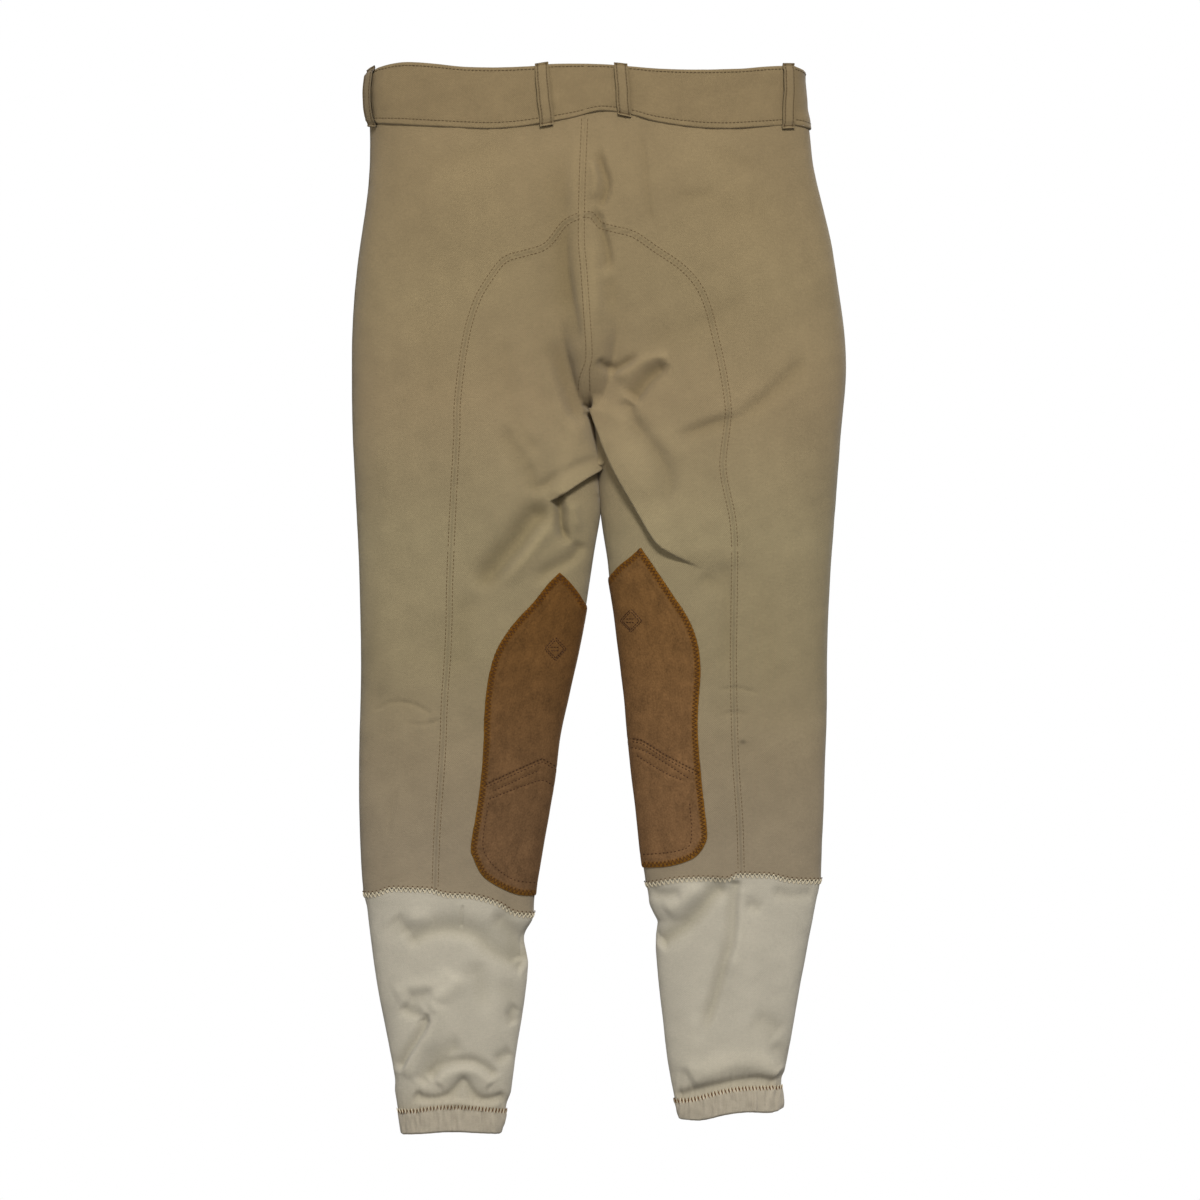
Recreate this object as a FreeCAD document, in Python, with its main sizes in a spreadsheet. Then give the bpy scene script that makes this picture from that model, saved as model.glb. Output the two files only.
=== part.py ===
import FreeCAD, Part
import math
import os
import Sketcher
from FreeCAD import Placement, Rotation, Vector

# Knee-patch riding breeches, hanging as they do from a clip hanger: waist up, hems down.
# Millimetres. +Z is up, +Y is the wearer's front, +X is the wearer's right.
# The origin is on the floor plane of the lower hem, midway across the hips.
# Every cloth tube is a loft through flattened ellipses; each cut piece of cloth is that
# thin tube intersected with its own pattern outline, so pattern seams are sketch lines.

doc = FreeCAD.newDocument("KneePatchBreeches")
dims = doc.addObject("Spreadsheet::Sheet", "Dims")
ALIASES = []
NODES = []


# ---------------------------------------------------------------- sizes tied to the sheet
class Size:
    """A number together with the expression that gives it from the sheet."""

    def __init__(self, value, text):
        self.value = float(value)
        self.text = text

    def __add__(self, other):
        other = as_size(other)
        return Size(self.value + other.value, "(%s) + (%s)" % (self.text, other.text))

    def __sub__(self, other):
        other = as_size(other)
        return Size(self.value - other.value, "(%s) - (%s)" % (self.text, other.text))

    def __mul__(self, other):
        other = as_size(other)
        return Size(self.value * other.value, "(%s) * (%s)" % (self.text, other.text))

    def __truediv__(self, other):
        other = as_size(other)
        return Size(self.value / other.value, "(%s) / (%s)" % (self.text, other.text))

    def __neg__(self):
        return Size(-self.value, "-(%s)" % self.text)


def as_size(value):
    return value if isinstance(value, Size) else Size(value, str(value))


def cell(alias, value, note=""):
    """Enter one driving dimension in the sheet and return it as a Size."""
    ALIASES.append(alias)
    row = len(ALIASES)
    dims.set("A%d" % row, "'" + alias)
    dims.set("B%d" % row, str(value))
    dims.setAlias("B%d" % row, alias)
    if note:
        dims.set("C%d" % row, "'" + note)
    return Size(value, "Dims." + alias)


# ---------------------------------------------------------------- driving dimensions
cloth_thk = cell("cloth_thk", 1.2, "stretch woven shell cloth")
sock_thk = cell("sock_thk", 1.0, "light knit of the sock bottoms, also the welts")
bag_thk = cell("bag_thk", 1.0, "pocket bag cloth")
suede_thk = cell("suede_thk", 1.2, "knee patch suede")
ply_gap = cell("ply_gap", 0.2, "gap between plies that lie on each other")
seam_gap = cell("seam_gap", 0.2, "gap between neighbouring cut pieces")
sheet_shift = cell("sheet_shift", 300, "keeps pattern sketches in positive numbers")
cut_depth = cell("cut_depth", 160, "how far a pattern outline cuts front to back")
half_split = cell("half_split", 0.1, "front and back halves part here, either side of y 0")
hip_z = cell("hip_z", 610, "hip crease axis height")
knee_z = cell("knee_z", 330, "knee crease axis height")

# closure at the centre front
front_x = cell("front_x", -9, "centre front")
front_y = cell("front_y", 50, "outer face of the front at the centre")
slit_half = cell("slit_half", 5, "half width of the zip slit")
slit_z = cell("slit_z", 758, "foot of the zip slit")
band_low = cell("band_low", 905.2, "foot of the waistband")
band_top = cell("band_top", 957, "top of the waistband")
tab_left = cell("tab_left", 20, "waist tab reach to the wearer's left of centre")
tab_right = cell("tab_right", 25, "waist tab reach to the wearer's right of centre")
tab_thk = cell("tab_thk", 3.2, "waist tab thickness")
tab_gap = cell("tab_gap", 0.3, "gap round the waist tab")
tab_corner = cell("tab_corner", 3, "corner cut off the free end of the tab")
underlap_thk = cell("underlap_thk", 1.6)
snap_x = cell("snap_x", 8, "press stud centre, right of centre front")
stud_r = cell("stud_r", 2.8)
stud_base_r = cell("stud_base_r", 5.0)
socket_in_r = cell("socket_in_r", 3.3)
socket_out_r = cell("socket_out_r", 4.9)
cap_r = cell("cap_r", 7.5)
cap_thk = cell("cap_thk", 1.8)

# zip
zip_low = cell("zip_low", 764)
zip_high = cell("zip_high", 896)
zip_y = cell("zip_y", 46.3, "mid plane of the tapes")
tape_thk = cell("tape_thk", 0.6)
tape_width = cell("tape_width", 11.5)
tape_inset = cell("tape_inset", 3.5, "centre front to the near edge of a tape")
teeth_pitch = cell("teeth_pitch", 2.4)
teeth_count = cell("teeth_count", 53)
tooth_tall = cell("tooth_tall", 1.4)
tooth_thk = cell("tooth_thk", 2.0)
slider_tall = cell("slider_tall", 8.0)
slider_half_w = cell("slider_half_w", 4.6)
slider_plate = cell("slider_plate", 0.9)
channel_half = cell("slider_channel_half", 1.3)
slot_half = cell("slider_slot_half", 0.65)
post_half = cell("slider_post_half", 0.3)
slider_lip = cell("slider_lip", 0.6)
pin_r = cell("pin_r", 0.6)
pin_long = cell("pin_long", 7.0)
pin_out = cell("pin_out", 3.6, "pin axis in front of the tapes")
pin_up = cell("pin_up", 1.0, "pin axis above the middle of the slider")
pull_bore_r = cell("pull_bore_r", 0.65)
pull_long = cell("pull_long", 21)
pull_wide = cell("pull_wide", 5.2)
pull_thk = cell("pull_thk", 1.2)

# belt loops
loop_wide = cell("loop_wide", 14)
loop_thk = cell("loop_thk", 1.4)
loop_stand = cell("loop_stand", 4.6, "belt space under a loop")
loop_half_tall = cell("loop_half_tall", 31.5)

# station tables: height, centre x, centre y, half width, half depth
STATIONS = {
    "torso": [
        (656, -0.8, -3.0, 221.0, 48.5), (700, 0.0, -2.2, 222.0, 50.6),
        (740, -0.9, -1.3, 220.5, 51.3), (800, -3.2, -1.0, 212.5, 51.0),
        (855, -6.0, 0.5, 202.0, 49.5), (905, -8.1, 4.0, 198.0, 46.0),
    ],
    "band": [
        (905.2, -8.1, 4.0, 198.9, 46.9), (931, -9.0, 5.6, 197.0, 45.3),
        (957, -9.9, 7.0, 194.4, 43.9),
    ],
    "left_thigh": [
        (352, -126.1, 0.0, 89.0, 29.6), (361, -125.3, 0.0, 89.8, 30.0),
        (420, -118.1, 0.0, 96.1, 33.0), (480, -113.0, 0.0, 102.1, 36.0),
        (532, -110.0, -0.5, 106.9, 38.5), (560, -110.0, -1.0, 107.8, 40.0),
        (640, -112.0, -3.0, 109.3, 44.0),
    ],
    "right_thigh": [
        (352, 115.9, 0.0, 88.4, 29.6), (361, 115.4, 0.0, 88.9, 30.0),
        (420, 112.7, 0.0, 92.5, 33.0), (480, 109.8, 0.0, 97.2, 36.0),
        (532, 107.8, -0.5, 102.8, 38.5), (560, 107.3, -1.0, 104.6, 40.0),
        (640, 110.7, -3.0, 108.0, 44.0),
    ],
    "left_calf": [
        (208, -135.0, 0.0, 76.0, 26.0), (250, -133.2, 0.0, 80.5, 27.0),
        (300, -130.3, 0.0, 85.7, 28.2), (350, -126.2, 0.0, 88.9, 29.5),
    ],
    "right_calf": [
        (229, 120.1, 0.0, 78.7, 26.4), (260, 119.0, 0.0, 81.2, 27.2),
        (300, 117.9, 0.0, 84.6, 28.2), (350, 116.0, 0.0, 88.3, 29.5),
    ],
    "left_sock": [
        (26, -132.7, 0.0, 48.8, 16.6), (45, -131.2, 0.0, 52.0, 18.2),
        (90, -131.4, 0.0, 59.4, 20.4), (140, -132.8, 0.0, 67.9, 22.6),
        (190, -135.4, 0.0, 73.2, 24.8), (207.8, -135.0, 0.0, 75.6, 25.6),
    ],
    "right_sock": [
        (38.2, 116.0, 0.0, 48.8, 16.8), (60, 114.0, 0.0, 51.5, 18.4),
        (100, 115.4, 0.0, 58.6, 20.6), (150, 118.0, 0.0, 66.4, 22.8),
        (205, 120.9, 0.0, 74.2, 25.0), (228.8, 120.1, 0.0, 78.3, 26.0),
    ],
    "left_hem": [(0, -133.6, 0.0, 45.6, 15.0), (25.8, -132.7, 0.0, 48.8, 16.6)],
    "right_hem": [(14, 119.6, 0.0, 46.2, 15.2), (38, 116.0, 0.0, 48.8, 16.8)],
}
# the same stations as sheet sizes, keyed z, x, y, a (half width), b (half depth)
RINGS = {part: [{axis: cell("%s_%d_%s" % (part, i, axis), value)
                 for axis, value in zip("zxyab", row)}
                for i, row in enumerate(rows)]
         for part, rows in STATIONS.items()}

# pattern outlines and seam lines, seen from behind: x across, z up
SEAT_EDGE = {
    "left": [(-126.5, 645), (-123.8, 680), (-120.3, 705), (-115.6, 729), (-107.3, 752),
             (-96.3, 770), (-83.9, 784), (-66, 790.5), (-46.8, 798), (-31.5, 816.5),
             (-19, 823)],
    "right": [(115.2, 645), (111.1, 683), (104.1, 715), (97.2, 742.5), (87.6, 763),
              (72.5, 779.5), (51.8, 793.5), (31.1, 807), (14.4, 812), (2.5, 816),
              (-5.5, 824)],
}
SEAT_RISE = [(-8.1, 645), (-9, 694), (-10.8, 735), (-14.3, 805), (-14.3, 824.7)]
BACK_SEAM = [(-14.3, 825), (-14.4, 860), (-12.6, 915)]
LEG_SEAM = {
    "left": [(-147.8, 200), (-145.8, 250), (-143.1, 300), (-139.5, 361), (-136.4, 420),
             (-133.7, 480), (-130.5, 560), (-126.5, 650)],
    "right": [(127.2, 220), (126.0, 284), (122.1, 342), (120.2, 420), (120.8, 464),
              (121.1, 523), (119.3, 554), (113.0, 583), (110.4, 605), (114.3, 650)],
}
KNEE_PATCH = {
    "left": [(-35.6, 506.3), (-45.5, 495.9), (-58.9, 479.3), (-73.4, 463.7), (-83.7, 450.3),
             (-92, 435.8), (-97.2, 419.4), (-100.8, 398.7), (-102.9, 372.6),
             (-103.1, 356.4), (-105.5, 323.1), (-109.6, 292.5), (-114.6, 263),
             (-112.7, 251.1), (-106.5, 237.6), (-98.2, 229.5), (-83.7, 221.4),
             (-71.4, 217.2), (-59, 216), (10, 216), (10, 447)],
    "right": [(37.4, 528.5), (45.6, 516.6), (56, 501.3), (66.3, 485.6), (75.6, 472.1),
              (82.8, 458.7), (88, 443.3), (90.5, 425.7), (90.5, 410.4), (89.6, 389.7),
              (88.4, 374.4), (88.7, 357.3), (90.5, 334.1), (92.7, 311.1), (95, 290.5),
              (96.8, 274.5), (96.2, 266.4), (91.6, 257.2), (84.6, 250.3), (72, 245.2),
              (58.3, 242.3), (41, 241.2), (-10, 241.2), (-10, 483.5)],
}
# left pocket; the right one is mirrored about the centre front
POCKET_MOUTH = [(-118, 893), (-161, 806), (-163, 807), (-120, 894)]
POCKET_WELT = [(-112, 896), (-157, 802), (-167, 806), (-122, 900)]
POCKET_BAG = [(-72, 899), (-72, 770), (-90, 756), (-150, 756), (-172, 778), (-172, 899)]

# outline edges that pass clear of the cloth
SIDE_CLEAR = 260
TORSO_FOOT_CLEAR = 645
TORSO_HEAD_CLEAR = 915
SIDES = (("left", -1), ("right", 1))  # side and its sign along x


# ---------------------------------------------------------------- builders
def bind(obj, prop, value):
    obj.setExpression(prop, as_size(value).text)


def place(obj, x, y, z):
    for axis, value in zip("xyz", (x, y, z)):
        bind(obj, "Placement.Base." + axis, value)


def node(obj, label):
    """Name a finished piece and list it for export."""
    obj.Label = label
    NODES.append(obj)


def combine(kind, name, base, tool):
    obj = doc.addObject(kind, name)
    obj.Base, obj.Tool = base, tool
    return obj


def cut(name, base, tool):
    return combine("Part::Cut", name, base, tool)


def common(name, base, tool):
    return combine("Part::Common", name, base, tool)


def box(name, x, y, z, length, width, height):
    obj = doc.addObject("Part::Box", name)
    place(obj, x, y, z)
    bind(obj, "Length", length)
    bind(obj, "Width", width)
    bind(obj, "Height", height)
    return obj


def wide_box(name, y, z, width, height):
    """A box that spans the whole garment from side to side."""
    return box(name, -300, y, z, 600, width, height)


def cylinder(name, turn, x, y, z, radius, length):
    obj = doc.addObject("Part::Cylinder", name)
    obj.Placement = Placement(Vector(0, 0, 0), turn)
    bind(obj, "Radius", radius)
    bind(obj, "Height", length)
    place(obj, x, y, z)
    return obj


def solid_tube(name, part, grow):
    """A solid loft through one part's stations, each ellipse grown by a length."""
    ellipses = []
    for i, station in enumerate(RINGS[part]):
        ellipse = doc.addObject("Part::Ellipse", "%s_ring%d" % (name, i))
        bind(ellipse, "MajorRadius", station["a"] + grow)
        bind(ellipse, "MinorRadius", station["b"] + grow)
        place(ellipse, station["x"], station["y"], station["z"])
        ellipses.append(ellipse)
    loft = doc.addObject("Part::Loft", name)
    loft.Sections = ellipses
    loft.Solid = True
    loft.Ruled = len(ellipses) == 2
    return loft


def tube_shell(name, part, outer, inner):
    """The cloth between two growths of one part's tube."""
    return cut(name, solid_tube(name + "_outer", part, outer),
               solid_tube(name + "_inner", part, inner))


def hold_point(sketch, index, point, x, y):
    """Fix a point of one geometry to the sheet. A negative coordinate is measured from
    the point back to the origin, so the constraint stays positive."""
    for axis, value in (("X", as_size(x)), ("Y", as_size(y))):
        if value.value < 0:
            value = -value
            ends = (index, point, -1, 1)
        else:
            ends = (-1, 1, index, point)
        constraint = sketch.addConstraint(
            Sketcher.Constraint("Distance" + axis, *ends, value.value))
        tag = "%s%d" % (axis.lower(), index)
        sketch.renameConstraint(constraint, tag)
        bind(sketch, "Constraints." + tag, value)


def polygon(sketch, corners):
    """A closed polygon with every corner held to the sheet."""
    count = len(corners)
    points = [Vector(as_size(x).value, as_size(y).value, 0) for x, y in corners]
    sketch.addGeometry([Part.LineSegment(points[i], points[(i + 1) % count])
                        for i in range(count)], False)
    sketch.addConstraint([Sketcher.Constraint("Coincident", i, 2, (i + 1) % count, 1)
                          for i in range(count)])
    for i, (x, y) in enumerate(corners):
        hold_point(sketch, i, 1, x, y)


def circle(sketch, x, y, radius):
    x, y, radius = as_size(x), as_size(y), as_size(radius)
    index = sketch.addGeometry(
        Part.Circle(Vector(x.value, y.value, 0), Vector(0, 0, 1), radius.value), False)
    hold_point(sketch, index, 3, x, y)
    constraint = sketch.addConstraint(Sketcher.Constraint("Radius", index, radius.value))
    sketch.renameConstraint(constraint, "radius")
    bind(sketch, "Constraints.radius", radius)


# reach of a cutter towards the front (+Y) and towards the back
CUT_REACH = {"back": (-half_split, cut_depth),
             "front": (cut_depth, -half_split),
             "both": (cut_depth, cut_depth)}


def cutter(name, points, half):
    """A pattern outline pushed through the back half, the front half or both."""
    sketch = doc.addObject("Sketcher::SketchObject", name + "_line")
    sketch.Placement = Placement(Vector(0, 0, 0), Rotation(Vector(1, 0, 0), 90))
    bind(sketch, "Placement.Base.x", -sheet_shift)
    polygon(sketch, [(cell("%s_%d_px" % (name, i), x) + sheet_shift,
                      cell("%s_%d_pz" % (name, i), float(z)))
                     for i, (x, z) in enumerate(points)])
    prism = doc.addObject("Part::Extrusion", name)
    prism.Base = sketch
    prism.DirMode = "Custom"
    prism.Dir = Vector(0, 1, 0)
    prism.Solid = True
    forward, backward = CUT_REACH[half]
    bind(prism, "LengthFwd", forward)
    bind(prism, "LengthRev", backward)
    return prism


def cloth_piece(label, shell, points, half):
    """One cut piece: a shell trimmed to its pattern outline."""
    node(common(label + "_c", shell, cutter(label + "_cut", points, half)), label)


def shifted(points, dx, dz=0.0):
    return [(x + dx, z + dz) for x, z in points]


def mirrored(points):
    return [(2 * front_x.value - x, z) for x, z in points]


def new_body(name):
    return doc.addObject("PartDesign::Body", name)


def origin_feature(body, role):
    return [f for f in body.Origin.OriginFeatures if f.Role == role][0]


def body_sketch(body, name, role):
    sketch = body.newObject("Sketcher::SketchObject", name)
    sketch.AttachmentSupport = [(origin_feature(body, role), "")]
    sketch.MapMode = "FlatFace"
    return sketch


def feature(body, kind, name, sketch, length, mode):
    """A Pad or Pocket, recomputed so that the next feature can build on it."""
    obj = body.newObject("PartDesign::" + kind, name)
    obj.Profile = sketch
    bind(obj, "Length", length)
    obj.SideType = mode
    doc.recompute()
    return obj


def polygon_feature(body, kind, name, role, corners, length, mode="Symmetric"):
    sketch = body_sketch(body, name + "_sketch", role)
    polygon(sketch, corners)
    return feature(body, kind, name, sketch, length, mode)


def circle_feature(body, kind, name, role, x, y, radius, length):
    sketch = body_sketch(body, name + "_sketch", role)
    circle(sketch, x, y, radius)
    return feature(body, kind, name, sketch, length, "Symmetric")


# ---------------------------------------------------------------- hip section
gap = seam_gap.value
torso = tube_shell("torso_cloth", "torso", 0, -cloth_thk)
# welts lie on the outside, pocket bags hang on the inside
welt_shell = tube_shell("welt_shell", "torso", ply_gap + sock_thk, ply_gap)
bag_shell = tube_shell("bag_shell", "torso", -cloth_thk - ply_gap,
                       -cloth_thk - ply_gap - bag_thk)


def back_and_seat(side, sign):
    edge = SEAT_EDGE[side]
    half_gap = sign * gap / 2
    cloth_piece(side + "_back_panel", torso,
                edge + shifted(BACK_SEAM, half_gap)
                + [(SIDE_CLEAR * sign, TORSO_HEAD_CLEAR), (SIDE_CLEAR * sign, TORSO_FOOT_CLEAR)],
                "back")
    cloth_piece(side + "_seat_panel", torso,
                shifted(edge, -sign * gap, -gap) + shifted(SEAT_RISE[::-1], half_gap), "back")


def front_and_pocket(side, sign):
    """Front panel with its slash pocket mouth cut through, the welt and the bag."""
    centre_edge = front_x.value + sign * gap / 2
    slit_edge = front_x.value + sign * slit_half.value
    outline = [(SIDE_CLEAR * sign, TORSO_FOOT_CLEAR), (centre_edge, TORSO_FOOT_CLEAR),
               (centre_edge, slit_z.value), (slit_edge, slit_z.value),
               (slit_edge, TORSO_HEAD_CLEAR), (SIDE_CLEAR * sign, TORSO_HEAD_CLEAR)]
    mouth, welt, bag = POCKET_MOUTH, POCKET_WELT, POCKET_BAG
    if side == "right":
        mouth, welt, bag = mirrored(mouth), mirrored(welt), mirrored(bag)
    whole = common(side + "_front_c", torso, cutter(side + "_front_cut", outline, "front"))
    node(cut(side + "_front_panel_c", whole, cutter(side + "_mouth_cut", mouth, "front")),
         side + "_front_panel")
    cloth_piece(side + "_pocket_welt", welt_shell, welt, "front")
    cloth_piece(side + "_pocket_bag", bag_shell, bag, "front")


for side, sign in SIDES:
    back_and_seat(side, sign)
    front_and_pocket(side, sign)

# ---------------------------------------------------------------- waistband
# three plies: label, growth of the outer face, growth of the inner face
BAND_PLIES = [("waistband_outer", 0, -1.2), ("waistband_interlining", -1.4, -2.0),
              ("waistband_facing", -2.2, -3.2)]
tab_window = box("tab_window", front_x - tab_left - tab_gap, 0, band_low - 5,
                 tab_left + tab_right + tab_gap * 2, cut_depth, 70)
for label, outer, inner in BAND_PLIES:
    node(cut(label + "_c", tube_shell(label + "_shell", "band", outer, inner), tab_window),
         label)

node(box("underlap", front_x - 15, front_y - 6.4, band_low + 0.3,
         46, underlap_thk, band_top - band_low - 0.6), "waistband_underlap")


def waist_tab():
    """The front end of the waistband, which presses onto the underlap. Its outer face
    lies on the XZ plane and its cloth runs towards -Y."""
    body = new_body("waist_tab_body")
    half_tall = (band_top - band_low) / 2 - 0.2
    polygon_feature(body, "Pad", "tab_cloth", "XZ_Plane", [
        (-tab_left, -half_tall),
        (tab_right - tab_corner, -half_tall),
        (tab_right, tab_corner - half_tall),
        (tab_right, half_tall - tab_corner),
        (tab_right - tab_corner, half_tall),
        (-tab_left, half_tall)], tab_thk, "One side")
    # round seat for the snap socket, sunk from the inner face
    seat = body_sketch(body, "tab_seat", "XZ_Plane")
    seat.AttachmentOffset = Placement(Vector(0, 0, tab_thk.value), Rotation())
    bind(seat, "AttachmentOffset.Base.z", tab_thk)
    circle(seat, snap_x, 0, socket_out_r + 0.1)
    feature(body, "Pocket", "tab_seat_cut", seat, 2.3, "One side")
    node(body, "waist_tab")
    place(body, front_x, front_y, (band_low + band_top) / 2)


waist_tab()

# ---------------------------------------------------------------- press stud
snap_centre = (front_x + snap_x, front_y, (band_low + band_top) / 2)


def snap_disc(name, radius, start, length):
    """A cylinder along +Y on the snap axis, starting off the front face."""
    x, y, z = snap_centre
    return cylinder(name, Rotation(Vector(1, 0, 0), -90), x, y + start, z, radius, length)


def snap_cap():
    """A shallow turned dome."""
    body = new_body("cap_body")
    sketch = body_sketch(body, "cap_half", "XY_Plane")
    polygon(sketch, [(0, 0.1), (cap_r, 0.1), (cap_r, 0.6), (cap_r * 0.82, cap_thk * 0.8),
                     (cap_r * 0.45, cap_thk), (0, cap_thk * 0.9)])
    turn = body.newObject("PartDesign::Revolution", "cap_turn")
    turn.Profile = sketch
    turn.ReferenceAxis = (sketch, ["V_Axis"])
    turn.Angle = 360
    node(body, "snap_cap")
    place(body, *snap_centre)


# base disc on the underlap with a plain post
node(combine("Part::Fuse", "stud_f", snap_disc("stud_base", stud_base_r, -4.8, 0.8),
             snap_disc("stud_post", stud_r, -4.1, 2.7)), "snap_stud")
node(cut("socket_c", snap_disc("socket_disc", socket_out_r, -3.1, 2.1),
         snap_disc("socket_hole", socket_in_r, -3.2, 2.3)), "snap_socket")
snap_cap()

# ---------------------------------------------------------------- fly and zip
zip_tall = zip_high - zip_low
node(box("shield", front_x - 20, front_y - 8.6, zip_low - 4, 42, 1.2, zip_tall + 10),
     "fly_shield")
node(box("facing", front_x - 30, front_y - 3.3, zip_low - 2, 24.8, 1.0, zip_tall + 7),
     "fly_facing")
# the tapes stop short of the waistband
for side, tape_x in (("left", front_x - tape_inset - tape_width),
                     ("right", front_x + tape_inset)):
    node(box("tape_" + side, tape_x, zip_y - tape_thk / 2, zip_low,
             tape_width, tape_thk, zip_tall + 7), "zip_tape_" + side)

# tooth outline: distance from the centre front, height in half tooth heights
TOOTH = [(0.5, 0.55), (1.2, 0.9), (3.4, 0.9), (3.4, -0.9), (1.2, -0.9), (0.5, -0.55)]


def zip_teeth(side, sign, lift):
    """One row of teeth, raised by a share of the pitch."""
    body = new_body("teeth_%s_body" % side)
    tooth = polygon_feature(body, "Pad", "tooth_" + side, "XZ_Plane",
                            [(sign * x, tooth_tall / 2 * share) for x, share in TOOTH],
                            tooth_thk)
    row = body.newObject("PartDesign::LinearPattern", "teeth_row_" + side)
    row.Originals = [tooth]
    row.Direction = (origin_feature(body, "Z_Axis"), [""])
    bind(row, "Length", teeth_pitch * (teeth_count - 1))
    bind(row, "Occurrences", teeth_count)
    body.Tip = row
    node(body, "zip_teeth_" + side)
    place(body, front_x, zip_y, zip_low + 3 + teeth_pitch * lift)


zip_teeth("left", -1, 0.0)
zip_teeth("right", 1, 0.5)

# stops: two at the head, one bridge at the foot; x from the centre, width, height
stops = [box("stop_" + name, front_x + x, zip_y - 1.0, z, width, 2.0, 1.6)
         for name, x, width, z in (("head_left", -3.4, 2.4, zip_high + 4.6),
                                   ("head_right", 1.0, 2.4, zip_high + 4.6),
                                   ("foot", -3.4, 6.8, zip_low + 0.2))]
stop_set = doc.addObject("Part::Compound", "stops")
stop_set.Links = stops
node(stop_set, "zip_stops")

slider_z = zip_high - slider_tall / 2 + 1.0


def zip_slider():
    """Front and back plates joined by a centre post that runs between the two rows,
    with a pair of ears in front for the pin."""
    body = new_body("slider_body")
    quarter = [(slider_half_w, channel_half + slider_plate),
               (slider_half_w, slot_half),
               (slider_half_w - slider_lip, slot_half),
               (slider_half_w - slider_lip, channel_half),
               (post_half, channel_half)]
    section = (quarter + [(x, -y) for x, y in quarter[::-1]]
               + [(-x, -y) for x, y in quarter] + [(-x, y) for x, y in quarter[::-1]])
    polygon_feature(body, "Pad", "slider_pad", "XY_Plane", section, slider_tall)
    polygon_feature(body, "Pad", "ear_pad", "YZ_Plane", [
        (2.1, -0.5), (4.4, -0.5), (4.7, 0.2), (4.7, 1.8), (4.4, 2.5), (2.1, 2.5)], 7.2)
    polygon_feature(body, "Pocket", "ear_slot", "YZ_Plane", [
        (2.2, -1.0), (5.5, -1.0), (5.5, 3.0), (2.2, 3.0)], 5.3)
    circle_feature(body, "Pocket", "ear_bore", "YZ_Plane", pin_out, pin_up, pin_r, 12)
    node(body, "zip_slider")
    place(body, front_x, zip_y, slider_z)


def zip_pull():
    """A knuckle on the pin, then a leaf with cut corners and an eye."""
    body = new_body("pull_body")
    half_wide = pull_wide / 2
    corner = 1.6
    right_edge = [(half_wide - corner, -pull_long), (half_wide, -pull_long + corner),
                  (half_wide, -8.0), (as_size(1.7), -5.0), (as_size(1.7), -0.2)]
    left_edge = [(-x, y) for x, y in right_edge[::-1]]
    polygon_feature(body, "Pad", "pull_leaf", "XZ_Plane", left_edge + right_edge, pull_thk)
    circle_feature(body, "Pad", "pull_knuckle", "YZ_Plane", 0, 0, 1.15, 4.9)
    circle_feature(body, "Pocket", "pull_bore", "YZ_Plane", 0, 0, pull_bore_r, 8)
    circle_feature(body, "Pocket", "pull_eye", "XZ_Plane", 0, -pull_long + 4.0, 1.2, 6)
    node(body, "zip_pull")
    place(body, front_x, zip_y + pin_out, slider_z + pin_up)


zip_slider()
node(cylinder("pin", Rotation(Vector(0, 1, 0), 90), front_x - pin_long / 2,
              zip_y + pin_out, slider_z + pin_up, pin_r, pin_long), "zip_pull_pin")
zip_pull()

# ---------------------------------------------------------------- belt loops
# label, x on the waistband, face of the band (-1 back, 1 front)
LOOPS = [("belt_loop_back_left", -49.9, -1), ("belt_loop_back_right", 23.0, -1),
         ("belt_loop_side_left", -197.5, -1), ("belt_loop_side_right", 171.0, -1),
         ("belt_loop_front_left", -104.0, 1), ("belt_loop_front_right", 86.0, 1)]
# degrees of lean with the band, which narrows towards the top
FACE_LEAN = {-1: 6.8, 1: 0.4}
SIDE_LEAN = 3.2
LOOP_FOOT = 0.4  # the loop's ends start this far off its own origin
LOOP_OFFSET = 0.25  # from the middle band station out to the loop's origin


def loop_placement(loop_x, face):
    """Set a loop square to the middle ellipse of the waistband."""
    band_z, band_x, band_y, half_width, half_depth = STATIONS["band"][1]
    across = (loop_x - band_x) / half_width
    along = face * math.sqrt(1 - across * across)
    outward = Vector(across / half_width, along / half_depth, 0)
    yaw = math.degrees(math.atan2(outward.y, outward.x)) - 90.0
    lean = FACE_LEAN[face] * abs(along) + SIDE_LEAN * abs(across) ** 3
    turn = Rotation(Vector(0, 0, 1), yaw).multiply(Rotation(Vector(1, 0, 0), lean))
    on_band = Vector(band_x + half_width * across, band_y + half_depth * along, band_z)
    return Placement(on_band + outward.normalize() * LOOP_OFFSET, turn)


def belt_loop(label, loop_x, face):
    body = new_body(label + "_body")
    # upper half of the side view: outer line from the middle up, then the inner line
    outer = [(loop_stand + loop_thk, loop_half_tall - 4),
             (loop_stand - 1.5, loop_half_tall),
             (LOOP_FOOT, loop_half_tall)]
    inner = [(LOOP_FOOT, loop_half_tall - loop_thk),
             (loop_stand - 2.2, loop_half_tall - loop_thk),
             (loop_stand, loop_half_tall - 4.6)]
    corners = ([(y, -z) for y, z in outer[::-1]] + outer + inner
               + [(y, -z) for y, z in inner[::-1]])
    polygon_feature(body, "Pad", label + "_pad", "YZ_Plane", corners, loop_wide)
    body.Placement = loop_placement(loop_x, face)
    node(body, label)


for label, loop_x, face in LOOPS:
    belt_loop(label, loop_x, face)

node(box("label_box", -17, -41.4, 882, 18, 0.6, 18), "care_label")


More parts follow.
